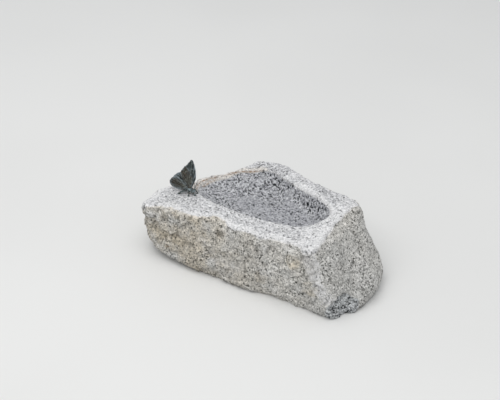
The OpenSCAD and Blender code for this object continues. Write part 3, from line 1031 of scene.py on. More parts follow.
    def under_ring(self, share: float) -> np.ndarray:
        """Places a ring of the underside."""
        inset = self.outward(self.foot_line, np.full(self.spokes, -self.under_inset))
        plan = self.centre + share * (inset - self.centre)
        return self.skin(plan, self.foot_height(plan[:, 0]), side=share ** 6)

    def side_ring(self, share: float) -> np.ndarray:
        """Places a ring of the split sides, from the ridge at 0 to the foot at 1."""
        top = SETTING.rim_height(self.rim_line[:, 0]) - self.ridge
        foot = self.foot_height(self.foot_line[:, 0])
        height = top + share * (foot - top)
        turn = np.clip((top - height) / (top - foot - self.toe), 0, 1) ** self.batter_bow
        plan = self.rim_line + turn[:, None] * (self.foot_line - self.rim_line)
        return self.skin(plan, height, side=0.5 + 0.5 * min(1.0, share / 0.25))

    def ridge_ring(self, inset: float, drop: float) -> np.ndarray:
        """Places a ring of the rounded ridge."""
        plan = self.outward(self.rim_line, -inset * self.ridge)
        return self.skin(plan, SETTING.rim_height(plan[:, 0]) - drop * self.ridge, 0.5, 0.5)

    def rim_ring(self, share: float) -> np.ndarray:
        """Places a ring of the rim, from the basin's lip at 0 to the ridge at 1."""
        inner = self.outward(self.basin_line, np.full(self.spokes, self.lip))
        plan = inner + share * (self.outward(self.rim_line, -self.ridge) - inner)
        up = float(ramp(6 * share, 0, 1)) * (1 - 0.4 * share)
        return self.skin(plan, SETTING.rim_height(plan[:, 0]), up=up)

    def basin_ring(self, share: float) -> np.ndarray:
        """Places a ring of the basin, whose wall rises gently at the small end."""
        away = self.basin_line - self.centre
        gentle = ramp(-away[:, 0] / np.linalg.norm(away, axis=1), 0.2, 1.0)
        plan = self.centre + share * away
        floor = SETTING.rim_big - self.basin_depth
        rise = share ** (6 - 3.6 * gentle)
        height = floor + rise * (SETTING.rim_height(plan[:, 0]) - self.lip - floor)
        return self.skin(plan, height, up=0.6 * (1 - share * share))

    def rings(self) -> list[np.ndarray]:
        """Lists the skin's rings from the underside, over the rim, down to the basin's floor."""
        under = [self.under_ring(share) for share in (0.35, 0.7, 1.0)]
        sides = [self.side_ring(share) for share in np.linspace(0.93, 0.06, 15)]
        ridge = [self.ridge_ring(0, 1), self.ridge_ring(0.35, 0.3)]
        rim = [self.rim_ring(share) for share in np.linspace(1, 0, 9)]
        basin = [self.basin_ring(1 - 0.8 * share ** 1.7) for share in np.linspace(0, 1, 16)]
        return under + sides + ridge + rim + basin

    def radius(self, line: np.ndarray, angles: np.ndarray) -> np.ndarray:
        """Reads an outline's distance from the middle in each direction."""
        away = line - self.centre
        own = np.arctan2(away[:, 1], away[:, 0])
        return np.interp(angles, own, np.linalg.norm(away, axis=1), period=2 * math.pi)


@dataclass(frozen=True)
class Survey:
    """Where each point of the smooth block lies: its measures and its share in the broad regions."""

    shape: BlockShape
    points: np.ndarray
    normals: np.ndarray

    @property
    def x(self) -> np.ndarray:
        """Places along the block."""
        return self.points[:, 0]

    @property
    def y(self) -> np.ndarray:
        """Places from front to back."""
        return self.points[:, 1]

    @cached_property
    def away(self) -> np.ndarray:
        """Plan places as seen from the basin's middle."""
        return self.points[:, :2] - self.shape.centre

    @cached_property
    def turn(self) -> np.ndarray:
        """Directions from the basin's middle, in radians."""
        return np.arctan2(self.away[:, 1], self.away[:, 0])

    @cached_property
    def angle(self) -> np.ndarray:
        """The same directions in degrees."""
        return np.degrees(self.turn)

    @cached_property
    def radius(self) -> np.ndarray:
        """Distances from the basin's middle."""
        return np.linalg.norm(self.away, axis=1)

    @cached_property
    def to_ridge(self) -> np.ndarray:
        """Distances to the rim plane's outline, negative outside."""
        return self.shape.radius(self.shape.rim_line, self.turn) - self.radius

    @cached_property
    def to_lip(self) -> np.ndarray:
        """Distances from the basin's outline, negative inside the basin."""
        return self.radius - self.shape.radius(self.shape.basin_line, self.turn)

    @cached_property
    def below(self) -> np.ndarray:
        """Depths below the rim plane."""
        return SETTING.rim_height(self.x) - self.points[:, 2]

    @cached_property
    def upper(self) -> np.ndarray:
        """Whether a point is high enough to belong to the basin or its lip."""
        return self.below < 50 * MM

    @cached_property
    def back_left(self) -> np.ndarray:
        """The back-left stretch of the rim."""
        return np.clip(ramp(self.angle, 95, 112) + ramp(-self.angle, 163, 172), 0, 1)

    @cached_property
    def front(self) -> np.ndarray:
        """The front stretch of the rim."""
        return ramp(-self.angle, -25, 5) * ramp(self.angle, -176, -150)

    @cached_property
    def face(self) -> np.ndarray:
        """The split front face, below its edge."""
        low = ramp(self.below, 3 * MM, 8 * MM)
        return ramp(-self.angle, 35, 45) * low * (self.y < -60 * MM)

    @cached_property
    def end(self) -> np.ndarray:
        """The small end."""
        return ramp(-self.x, 148 * MM, 168 * MM)

    @cached_property
    def smooth(self) -> np.ndarray:
        """The smoother split face of the big end."""
        across = ramp(-np.abs(self.angle + 10), -45, -30)
        return ramp(self.x, 95 * MM, 135 * MM) * across


@dataclass
class GraniteBlock:
    """The granite block with its basin, roughened the way a mason's tools leave it."""

    shape: BlockShape = field(default_factory=BlockShape)
    finish: GraniteFinish = field(default_factory=GraniteFinish)
    face_size: float = 1.68 * MM
    bore_radius: float = 3 * MM
    bore_depth: float = 33 * MM
    bore_over: float = 4 * MM
    grain: float = 2.7 * MM
    ridge_bite: float = 3.4 * MM
    end_bulge: float = 2.6 * MM
    relief_height: float = 0.32 * MM
    relief_rounds: int = 6
    break_at: Point = (155 * MM, -60 * MM, 8 * MM)
    break_reach: float = 27 * MM
    seat_flat: float = 17 * MM
    seat_blend: float = 16 * MM
    corner_streak: Sequence[Point] = (
        (108, -79, 101), (112, -78.5, 86), (116, -78.7, 74.6), (121.6, -79.3, 60), (128, -79, 42),
        (140, -73, 31),
    )
    dusty_facet: Sequence[Point] = ((-57.7, -92.2, 52.4), (-34.6, -92.8, 32.4), (-12.7, -94.2, 19.6))
    beige_spots: Sequence[Point] = ((38, -88, 33), (85.5, -84.8, 79), (114, -82, 41.6), (-48.5, -93, 44))
    stain_at: Point = (-119 * MM, -99 * MM, 29 * MM)
    front_edge: Sequence[Flat] = (
        (-160, -97), (-153, -96), (-137, -88), (-125, -82.5), (-116, -84.6), (-91, -86.3), (-72, -83.3),
        (-54, -71.5), (-40, -72.5), (-19, -84.1), (3, -81.3), (29, -84), (48, -79), (66, -77.5), (75, -78),
        (88, -76.5), (96, -79), (101, -84), (112, -79),
    )
    end_edge: Sequence[Flat] = (
        (118, -90), (115, -66.5), (112.7, -45), (108.6, -20.3), (105, 1), (102, 27), (104.3, 40), (109, 55),
    )
    rim_seam: Sequence[Flat] = (
        (-124.3, -22.5), (-130.4, -11.8), (-130.5, -5.6), (-125.9, 8.2), (-120.8, 18.8), (-115.5, 24.1),
        (-109.9, 31.7), (-105.3, 40.6), (-99.8, 48.4), (-93.7, 52.8), (-84, 57.2), (-76.8, 62.6),
        (-70.8, 69.7),
    )
    wall_seam: Sequence[Point] = (
        (-122.6, -8.9, 81.9), (-122.8, -1.1, 82), (-121.5, 7.1, 82.5), (-119.1, 13.8, 82.5),
        (-115.2, 21.2, 83.5), (-109.6, 28.8, 85.2),
    )

    def carve(self) -> bpy.types.Object:
        """Draws the block's skin through its rings, evens its faces and drills the stud's hole."""
        block = drawn_through("granite_block", self.shape.rings())
        remesh_even(block, self.face_size)
        length = self.bore_depth + self.bore_over
        middle = SETTING.seat + Vector((0, 0, self.bore_over - length / 2))
        deselect_all()
        bpy.ops.mesh.primitive_cylinder_add(
            vertices=32, radius=self.bore_radius, depth=length, location=middle)
        drill = bpy.context.object
        choose(block)
        hole = block.modifiers.new("stud_hole", "BOOLEAN")
        hole.operation = "DIFFERENCE"
        hole.solver = "EXACT"
        hole.object = drill
        bpy.ops.object.modifier_apply(modifier=hole.name)
        bpy.data.objects.remove(drill)
        return block

    def masks(self, points: np.ndarray, normals: np.ndarray) -> dict[str, np.ndarray]:
        """Finds which kind of surface each point lies on.

        Args:
            points: the smooth block's points.
            normals: their normals.

        Returns:
            Named shares from 0 to 1, one per point.
        """
        at = Survey(self.shape, points, normals)
        basin = ramp(-at.to_lip, -1.5 * MM, 1.0 * MM) * at.upper
        start = (2.6 + 2.0 * ramp(-at.x, 88 * MM, 110 * MM)) * MM
        basin *= 1 - at.back_left * ramp(start - at.below, -1 * MM, 1 * MM)
        under = ramp(-normals[:, 2], 0.55, 0.85) * (at.below > 60 * MM)
        inside = self.pitched_share(points, at.to_ridge)
        level = ramp(-at.below, -9 * MM, -5 * MM)
        top = level * ramp(inside, -0.8 * MM, 0.8 * MM) * (1 - basin)
        beside = self.beside_streak(at)
        pale = np.maximum(self.tooled(at, top), self.crushed(at, inside))
        pale = np.maximum.reduce([pale, self.dusty(at), beside * self.streak_share(at) * (1 - basin)])
        bright = 0.05 + 0.22 * at.face * ramp(at.x, 5 * MM, 70 * MM)
        bright += 0.29 * beside - 0.09 * at.smooth * ramp(-at.below, -70 * MM, -45 * MM)
        bite = 1 - ramp(np.hypot(at.to_ridge, at.below), 5 * MM, 10 * MM)
        bite *= (1 - 0.7 * at.end) * (0.4 + 0.6 * at.front)
        calm, bore = self.fixed(at)
        return {
            "basin": basin,
            "under": under,
            "top": top,
            "bite": bite,
            "pale": pale * (1 - under),
            "wall": self.wall(at, basin),
            "calm": calm,
            "bore": bore,
            "broken": self.broken(at) * (1 - under),
            "smooth": at.smooth,
            "bright": bright,
            "bulge": at.end * ramp(at.below, 3 * MM, 10 * MM),
        }

    def tooled(self, at: Survey, top: np.ndarray) -> np.ndarray:
        """Finds how pale the tools left the pitched top and the basin's right lip."""
        right = ramp(at.x, 72 * MM, 92 * MM)
        lip_part = ramp(at.angle, -25, -5) * ramp(-at.angle, -85, -65)
        far = lip_part * ramp(at.to_lip, 7 * MM, 13 * MM)
        lip = ramp(-at.to_lip, -7 * MM, -5 * MM) * ramp(at.to_lip, -2 * MM, 0.5 * MM)
        plain = top * (0.44 + 0.24 * right - 0.22 * at.back_left - 0.13 * far)
        return np.maximum(plain, 1.15 * (lip * at.upper) * lip_part)

    def crushed(self, at: Survey, inside: np.ndarray) -> np.ndarray:
        """Finds the crushed band along the pitched top's ragged edge."""
        scallop = 0.9 * Grit.waves(at.points, 26 * MM, 101) + 0.5 * Grit.waves(at.points, 10 * MM, 103)
        corner = ramp(at.x, 94 * MM, 105 * MM) * ramp(-at.y, 60 * MM, 72 * MM)
        band = np.where(inside > 0, 10 * MM * (1 + 0.5 * scallop), 2.2 * MM)
        drop = (np.clip(3.6 + 3 * scallop, 2, 7) + 5 * corner) * MM
        crushed = 1 - ramp(np.hypot(inside / band, at.below / drop), 0.65, 1.2)
        return crushed * np.maximum(1.25 * at.front, 0.4)

    def dusty(self, at: Survey) -> np.ndarray:
        """Finds how much paler the front face is made towards its right and along one facet."""
        gap = distance_to_line(at.points, np.array(self.dusty_facet) * MM)
        rightward_pale = at.face * (0.17 * ramp(at.x, -20 * MM, 60 * MM))
        return np.maximum(rightward_pale, 0.32 * at.face * ramp(-gap, -15 * MM, -6 * MM))

    def beside_streak(self, at: Survey) -> np.ndarray:
        """Finds the pale streak down the big end's front corner."""
        gap = distance_to_line(at.points, np.array(self.corner_streak) * MM)
        gap += 3 * MM * Grit.layers(at.points, 12 * MM, 2, 109)
        return ramp(-gap, -14 * MM, -6 * MM)

    def streak_share(self, at: Survey) -> np.ndarray:
        """Works out how strong that streak is, most near the top."""
        return 0.64 + 0.32 * ramp(-at.below, -45 * MM, -10 * MM)

    def wall(self, at: Survey, basin: np.ndarray) -> np.ndarray:
        """Finds the basin's wall, where it is steep or shallow, apart from its floor."""
        steep = ramp(-at.normals[:, 2], -0.93, -0.72)
        shore = ramp(at.to_lip, -75 * MM, -35 * MM) * ramp(np.abs(at.angle), 45, 90)
        return basin * np.maximum(steep, 0.9 * shore)

    def broken(self, at: Survey) -> np.ndarray:
        """Finds the fresh break at the foot of the big end's front corner."""
        gap = np.linalg.norm(at.points - np.array(self.break_at), axis=1)
        gap += 4 * MM * Grit.layers(at.points, 13 * MM, 2, 107)
        return ramp(-gap, -self.break_reach, -0.86 * self.break_reach)

    def fixed(self, at: Survey) -> tuple[np.ndarray, np.ndarray]:
        """Finds the calm stone around the butterfly's feet, and the stud's hole.

        Args:
            at: where each point lies.

        Returns:
            The share of the roughness that is left, and 1 for points of the hole, per point.
        """
        gap = np.linalg.norm(at.points[:, :2] - np.array(SETTING.seat[:2]), axis=1)
        calm = ramp(gap, self.seat_flat, self.seat_flat + self.seat_blend)
        calm = np.where(at.below < 12 * MM, calm, 1.0)
        bore = (gap < self.bore_radius + 0.3 * MM) & (at.below < self.bore_depth + 2 * MM)
        return calm, bore.astype(float)

    def pitched_share(self, points: np.ndarray, to_ridge: np.ndarray) -> np.ndarray:
        """Measures how far inside the pitched top's ragged edge each point lies.

        Args:
            points: the smooth block's points.
            to_ridge: their distance from the rim plane's outline.

        Returns:
            One distance per point, negative outside.
        """
        front, end = np.array(self.front_edge) * MM, np.array(self.end_edge) * MM
        x, y = points[:, 0], points[:, 1]
        from_front = y - np.interp(x, front[:, 0], front[:, 1])
        inside = np.minimum(from_front, np.interp(y, end[:, 1], end[:, 0]) - x)
        inside = np.where((x < front[0, 0]) | (y > end[-1, 1]), to_ridge, inside)
        return inside + 1.3 * MM * Grit.layers(points, 7 * MM, 2, 113)

    def roughness(self, points: np.ndarray, masks: dict[str, np.ndarray]) -> np.ndarray:
        """Works out how far each point moves along its normal.

        Args:
            points: the smooth block's points.
            masks: the kinds of surface.

        Returns:
            One distance per point.
        """
        basin, top, under = masks["basin"], masks["top"], masks["under"]
        grain = 0.36 * MM * Grit.layers(points, self.grain, 2, 31)
        split = 0.55 * MM * Grit.layers(points, 11 * MM, 2, 3) + grain
        split += 1.2 * Grit.facets(points, 16 * MM, 0.32, 11) + 0.7 * Grit.facets(points, 8.5 * MM, 0.32, 17)
        split += 0.6 * Grit.facets(points, 4.8 * MM, 0.32, 23)
        split -= split.mean()
        pitched = 0.7 * MM * Grit.waves(points, 13 * MM, 37) + 0.5 * MM * Grit.waves(points, 6 * MM, 39)
        pitched += 0.5 * Grit.facets(points, 5.5 * MM, 0.26, 59) + 0.6 * grain
        hammered = 0.28 * MM * Grit.waves(points, 3.4 * MM, 41)
        hammered += 0.22 * MM * Grit.waves(points, 1.9 * MM, 43)
        broad = 0.5 * MM * Grit.waves(points, 21 * MM, 53)
        hammered += 0.3 * Grit.facets(points, 6.5 * MM, 0.14, 47) + broad
        outer = (1 - basin) * (1 - under)
        split *= 1 - 0.4 * masks["smooth"]
        moves = outer * (split + top * (pitched - split)) + basin * hammered
        bites = np.clip(Grit.layers(points, 15 * MM, 3, 61) + 0.1, 0, 1.2)
        moves -= outer * masks["bite"] * self.ridge_bite * bites
        moves += outer * masks["bulge"] * self.end_bulge
        moves += masks["broken"] * 1.2 * Grit.facets(points, 8 * MM, 0.45, 71)
        rest = -0.2 * MM * (1 + Grit.waves(points, self.grain, 31))
        moves = moves * masks["calm"] + (1 - masks["calm"]) * rest
        moves = np.where(under > 0.3, 0.15 * MM * (1 + Grit.waves(points, 4 * MM, 83)) * -1, moves)
        return np.where(masks["bore"] > 0, 0, moves)

    def stains(self, points: np.ndarray) -> tuple[np.ndarray, np.ndarray]:
        """Marks the rust seams round the back-left rim and the small rust spot on the front face.

        Args:
            points: the block's points.

        Returns:
            The rust and the beige tint beside the seam, each from 0 to 1 per point.
        """
        rim_line, wall_line = np.array(self.rim_seam) * MM, np.array(self.wall_seam) * MM
        near_top = points[:, 2] > SETTING.rim_height(points[:, 0]) - 9 * MM
        wander = 1.0 * MM * Grit.waves(points, 7 * MM, 91)
        rim_gap = distance_to_line(points[:, :2], rim_line)
        wide = (0.6 + 0.6 * ramp(Grit.waves(points, 10 * MM, 95), -0.2, 0.8)) * MM
        rim = (1 - ramp(np.abs(rim_gap + wander) / wide, 0.5, 1.3)) * near_top
        wall_gap = distance_to_line(points, wall_line)
        wall = 1 - ramp(np.abs(wall_gap + wander) / wide, 0.5, 1.2)
        spot_gap = np.linalg.norm(points - np.array(self.stain_at), axis=1)
        spot = 1 - ramp(spot_gap, 1.5 * MM, 6 * MM)
        beside = (1 - ramp(rim_gap, 5 * MM, 13 * MM)) * near_top
        return np.maximum.reduce([rim, 0.9 * wall, 0.8 * spot]), beside

    def build(self) -> bpy.types.Object:
        """Builds the block, keeps its masks for the finish and dresses it."""
        block = self.carve()
        points, normals, edges = read_points(block), read_normals(block), edge_pairs(block)
        masks = self.masks(points, normals)
        low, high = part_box("stone_bowl")
        shaped = points + normals * self.roughness(points, masks)[:, None]
        shaped = np.clip(shaped, np.array(low), np.array(high))
        write_points(block, shaped)
        # The relief worked out below also darkens the hollows in the finish, as painted shade.
        near = relaxed(shaped, edges, self.relief_rounds)
        relief = ((shaped - near) * read_normals(block)).sum(axis=1) / self.relief_height
        stain, beside = self.stains(shaped)
        outer = (1 - masks["top"]) * (1 - masks["basin"])
        warm = (0.25 + 0.75 * ramp(-shaped[:, 0], -80 * MM, 120 * MM)) * outer * (1 - 0.6 * masks["smooth"])
        for spot in self.beige_spots:
            spot_gap = np.linalg.norm(shaped - np.array(spot) * MM, axis=1)
            warm = np.maximum(warm, outer * ramp(-spot_gap, -17 * MM, -8 * MM))
        kept = {
            "basin": masks["basin"],
            "top": masks["top"],
            "wall": masks["wall"],
            "broken": masks["broken"],
            "pale": np.maximum(masks["pale"], 0.52 * beside * (1 - masks["basin"])),
            "beige": 0.65 * beside * (1 - masks["basin"]),
            "bright": masks["bright"],
            "warm": warm,
            "stain": stain,
            "relief": np.clip(relief, -1, 1),
        }
        keep_values(block, **kept)
        finish_piece(block, "granite_block", self.finish.material(), "stone_bowl")
        return block


@dataclass
class Wing:
    """One cast wing: a scalloped plate with raised veins, stood up and leaned out."""

    kind: WingKind
    side: Side
    outline: Sequence[Flat]
    veins: Sequence[Sequence[Flat]]
    inner: float
    half: float = 0.36 * MM
    rise: float = 0.16 * MM
    lean: float = math.radians(11)
    root_height: float = 8.6 * MM
    border: float = 2.9 * MM
    face_size: float = 0.3 * MM

    def smooth_outline(self) -> list[Flat]:
        """Rounds the outline's corners by cutting each of them twice."""
        line = [(x * MM, z * MM) for x, z in self.outline]
        for _ in range(2):
            cut = []
            for (ax, az), (bx, bz) in zip(line, line[1:] + line[:1]):
                cut.append((0.75 * ax + 0.25 * bx, 0.75 * az + 0.25 * bz))
                cut.append((0.25 * ax + 0.75 * bx, 0.25 * az + 0.75 * bz))
            line = cut
        return line

    def blank(self) -> bpy.types.Object:
        """Cuts the flat blank: a filled ring drawn to the outline, extruded to its thickness."""
        line = self.smooth_outline()
        deselect_all()
        bpy.ops.mesh.primitive_circle_add(vertices=len(line), radius=1.0, fill_type="NGON")
        plate = bpy.context.object
        for vertex, (x, z) in zip(plate.data.vertices, line):
            vertex.co = (x, self.inner, z)
        bpy.ops.object.mode_set(mode="EDIT")
        bpy.ops.mesh.select_all(action="SELECT")
        bpy.ops.mesh.extrude_region_move(TRANSFORM_OT_translate={"value": (0, 2 * self.half, 0)})
        bpy.ops.mesh.select_all(action="SELECT")
        bpy.ops.mesh.quads_convert_to_tris()
        bpy.ops.mesh.normals_make_consistent(inside=False)
        bpy.ops.object.mode_set(mode="OBJECT")
        remesh_even(plate, self.face_size)
        return plate

    def relief(self, flat: np.ndarray) -> tuple[np.ndarray, np.ndarray]:
        """Works out the height of veins and margin over the membrane.

        Args:
            flat: rows of places ahead and up from the root.

        Returns:
            The height per point, and how near the margin it is, from 0 to 1.
        """
        height = np.zeros(len(flat))
        for vein in self.veins:
            line = np.array(vein) * MM
            gap = distance_to_line(flat, line)
            from_root = np.linalg.norm(flat - line[0], axis=1) / np.linalg.norm(line[-1] - line[0])
            width = (0.62 - 0.3 * np.clip(from_root, 0, 1)) * MM
            height = np.maximum(height, np.exp(-(gap / width) ** 2))
        edge = np.array(self.smooth_outline() + self.smooth_outline()[:1])
        rim_gap = distance_to_line(flat, edge)
        bead = np.exp(-((rim_gap - 0.5 * MM) / (0.45 * MM)) ** 2)
        return np.maximum(height, 0.8 * bead), np.exp(-rim_gap / self.border)

    def streaks(self, flat: np.ndarray) -> np.ndarray:
        """Draws thin streaks that run out from the root, as brushed patina does."""
        away = np.linalg.norm(flat, axis=1)
        turn = np.arctan2(flat[:, 1], flat[:, 0])
        fan = np.column_stack((turn / 0.075, away / (9 * MM), np.full(len(flat), 0.3)))
        return Grit.layers(fan, 1.0, 2, 19 + self.side.value)

    def build(self, material: bpy.types.Material) -> bpy.types.Object:
        """Builds the wing in its place.

        Args:
            material: the wing's finish.

        Returns:
            The finished piece.
        """
        plate = self.blank()
        points = read_points(plate)
        middle = self.inner + self.half
        flat = points[:, [0, 2]]
        height, margin = self.relief(flat)
        outside = np.clip((points[:, 1] - middle) / (0.6 * self.half), -1, 1)
        cast = 0.05 * MM * Grit.layers(points, 1.6 * MM, 2, 5 + self.side.value)
        ripple = 0.22 * MM * np.sin(flat[:, 0] / (2.9 * MM)) * np.clip(flat[:, 1] / (20 * MM), 0, 1)
        points[:, 1] += outside * (self.rise * height + cast) + 0.35 * ripple
        angle = self.lean * (2 * ramp(points[:, 2], -1.5 * MM, 1.5 * MM) - 1)
        across = points[:, 1] * np.cos(angle) + points[:, 2] * np.sin(angle)
        up = points[:, 2] * np.cos(angle) - points[:, 1] * np.sin(angle)
        points[:, 1] = across * self.side.value
        points[:, 2] = up + self.root_height
        write_points(plate, points)
        if self.side is Side.RIGHT:
            plate.data.flip_normals()
        plate.data.transform(SETTING.stand())
        inside = ramp(-outside, 0.2, 0.8)
        keep_values(plate, relief=2 * height - 0.6, margin=margin, streak=self.streaks(flat), inside=inside)
        node = f"{self.side.word}_{self.kind.value}"
        finish_piece(plate, f"cast_{node}", material, node)
        return plate


@dataclass
class Sweep:
    """A round bar that is drawn through stations, each a place and a radius."""

    name: str
    stations: Sequence[tuple[Point, float]]
    sides: int = 14

    def ring(self, index: int) -> list[Vector]:
        """Works out the ring of points at one station, square to the bar's run."""
        here = Vector(self.stations[index][0])
        before = Vector(self.stations[max(index - 1, 0)][0])
        after = Vector(self.stations[min(index + 1, len(self.stations) - 1)][0])
        run = (after - before).normalized()
        across = run.cross(Vector((0.18, 0.97, 0.12))).normalized()
        over = run.cross(across).normalized()
        radius = self.stations[index][1]
        turns = [2 * math.pi * k / self.sides for k in range(self.sides)]
        return [here + radius * (math.cos(t) * across + math.sin(t) * over) for t in turns]

    def build(self) -> bpy.types.Object:
        """Extrudes a filled ring from station to station and rounds the result."""
        bar = drawn_through(self.name, [self.ring(index) for index in range(len(self.stations))])
        rounder = bar.modifiers.new("rounder", "SUBSURF")
        rounder.levels = 2
        rounder.render_levels = 2
        bpy.ops.object.modifier_apply(modifier=rounder.name)
        bpy.ops.object.shade_smooth()
        return bar


@dataclass
class Leg:
    """One bronze leg: thigh, shin and a small round foot that rests on the stone."""

    place: LegPlace
    side: Side
    hip: Point
    knee: Point
    foot: Flat
    radius: float

    def stations(self) -> list[tuple[Point, float]]:
        """Lists the places and radii along the leg, from hip to foot."""
        hip, knee = Vector(self.hip) * MM, Vector(self.knee) * MM
        x, y = self.foot[0] * MM, self.foot[1] * MM
        base = Vector((x, y, SETTING.ground(x, y)))
        base.z += 0.05 * MM
        ankle = base + Vector((0, 0, 1.15 * MM))
        rows = [
            (hip, 0.85), (hip.lerp(knee, 0.3), 1.02), (hip.lerp(knee, 0.65), 0.98),
            (hip.lerp(knee, 0.92), 0.92), (knee, 1.1), (knee.lerp(ankle, 0.08), 0.95),
            (knee.lerp(ankle, 0.35), 0.80), (knee.lerp(ankle, 0.8), 0.76), (ankle, 0.95),
            (base + Vector((0, 0, 0.6 * MM)), 1.15), (base + Vector((0, 0, 0.25 * MM)), 1.4), (base, 1.38),
        ]
        return [((p.x, p.y * self.side.value, p.z), share * self.radius) for p, share in rows]

    def build(self, material: bpy.types.Material) -> bpy.types.Object:
        """Builds the leg in its place.

        Args:
            material: the leg's finish.

        Returns:
            The finished piece.
        """
        node = f"{self.side.word}_{self.place.value}_leg"
        bar = Sweep(node, self.stations()).build()
        points = read_points(bar)
        points += (0.035 * MM * Grit.waves(points, 0.9 * MM, 7))[:, None] * read_normals(bar)
        floor = np.array([SETTING.ground(x, y) for x, y in points[:, :2]]) + 0.02 * MM
        points[:, 2] = np.maximum(points[:, 2], floor)
        write_points(bar, points)
        bar.data.transform(SETTING.stand())
        keep_values(bar, relief=0.3, margin=0.4)
        finish_piece(bar, f"bronze_{node}", material, node)
        return bar


@dataclass
class Antenna:
    """One bronze antenna: a thin tapering wire with a club at its tip."""

    side: Side
    root: Point
    aim: Point
    length: float = 13.4 * MM
    profile: Sequence[Flat] = (
        (0, 0.44), (0.15, 0.42), (0.4, 0.38), (0.65, 0.36), (0.78, 0.42), (0.86, 0.66), (0.94, 0.74),
        (0.985, 0.5), (1, 0.2),
    )

    def build(self, material: bpy.types.Material) -> bpy.types.Object:
        """Builds the antenna in its place.

        Args:
            material: its finish.

        Returns:
            The finished piece.
        """
        root, aim = Vector(self.root) * MM, Vector(self.aim).normalized()
        rows = []
        for share, radius in self.profile:
            spot = root + aim * self.length * share
            rows.append(((spot.x, spot.y * self.side.value, spot.z), radius * MM))
        node = f"{self.side.word}_antenna"
        wire = Sweep(node, rows, 12).build()
        wire.data.transform(SETTING.stand())
        keep_values(wire, relief=0.4, margin=0.5)
        finish_piece(wire, f"bronze_{node}", material, node)
        return wire


@dataclass
class ButterflyBody:
    """The cast body: furry thorax, head with two eyes, and a ringed abdomen."""

    height: float = 7.0 * MM
    thorax_length: float = 12 * MM
    thorax_radius: float = 3.2 * MM
    head_radius: float = 2.1 * MM
    head_reach: float = 7.26 * MM
    head_dip: float = math.radians(14)
    eye_radius: float = 1.0 * MM
    abdomen_length: float = 17 * MM
    abdomen_radius: float = 1.8 * MM
    abdomen_start: float = -3.5 * MM
    droop: float = math.radians(6)
    face_size: float = 0.24 * MM

    def ball(self, place: Vector, half: Point, lean: float) -> bpy.types.Object:
        """Adds a ball, stretched and tapered in edit mode, and leaned about the sideways axis.

        Args:
            place: the ball's middle.
            half: its half sizes.
            lean: its turn about the sideways axis.

        Returns:
            The new mesh object.
        """
        deselect_all()
        bpy.ops.mesh.primitive_uv_sphere_add(segments=32, ring_count=20, radius=1.0)
        made = bpy.context.object
        bpy.ops.object.mode_set(mode="EDIT")
        bpy.ops.mesh.select_all(action="SELECT")
        bpy.ops.transform.resize(value=half)
        bpy.ops.object.mode_set(mode="OBJECT")
        made.data.transform(Matrix.Translation(place) @ Matrix.Rotation(lean, 4, "Y"))
        return made

    def build(self, material: bpy.types.Material) -> bpy.types.Object:
        """Builds the body in its place.

        Args:
            material: the body's finish.

        Returns:
            The finished piece.
        """
        ahead = Vector((math.cos(self.head_dip), 0, -math.sin(self.head_dip)))
        middle = Vector((0, 0, self.height))
        head = middle + ahead * self.head_reach
        back = Vector((-math.cos(self.droop), 0, -math.sin(self.droop)))
        tail = Vector((self.abdomen_start, 0, self.height - 0.4 * MM)) + back * self.abdomen_length / 2
        half_thorax = (self.thorax_length / 2, 0.97 * self.thorax_radius, 0.97 * self.thorax_radius)
        half_tail = (0.98 * self.abdomen_length / 2, self.abdomen_radius, self.abdomen_radius)
        parts = [self.ball(middle, half_thorax, self.head_dip), self.ball(tail, half_tail, -self.droop),
                 self.ball(head, (self.head_radius, 0.98 * self.head_radius, 0.95 * self.head_radius), 0)]
        over = Vector((math.sin(self.head_dip), 0, math.cos(self.head_dip)))
        for side in Side:
            eye = head + ahead * 0.3 * self.head_radius + over * 0.5 * MM
            eye += Vector((0, side.value * 0.66 * self.head_radius, 0))
            parts.append(self.ball(eye, (self.eye_radius,) * 3, 0))
        deselect_all()
        for part in parts:
            part.select_set(True)
        bpy.context.view_layer.objects.active = parts[0]
        bpy.ops.object.join()
        body = bpy.context.object
        remesh_even(body, self.face_size)
        self.chase(body)
        body.data.transform(SETTING.stand())
        finish_piece(body, "cast_butterfly_body", material, "butterfly_body")
        return body

    def chase(self, body: bpy.types.Object) -> None:
        """Cuts fur into the thorax and rings into the abdomen, and keeps the relief."""
        points, normals = read_points(body), read_normals(body)
        behind = ramp(-points[:, 0], 4.5 * MM, 6.5 * MM)
        rings = np.cos(2 * math.pi * points[:, 0] / (1.75 * MM))
        fur_place = points * np.array([0.28, 1, 1])
        fur = Grit.layers(fur_place, 0.75 * MM, 2, 17)
        front = ramp(points[:, 0], 5.6 * MM, 7 * MM)
        moves = behind * 0.11 * MM * (rings - 1)
        moves += (1 - behind) * (1 - 0.8 * front) * (0.13 * MM * fur - 0.1 * MM)
        write_points(body, points + normals * moves[:, None])
        # Painted highlight: this number rises towards the head, so the finish paints the head and the front
        # of the thorax paler.
        margin = 0.2 + 0.7 * ramp(points[:, 0], 2 * MM, 6.5 * MM)
        keep_values(body, relief=np.clip(moves / (0.12 * MM), -1, 1), margin=margin)


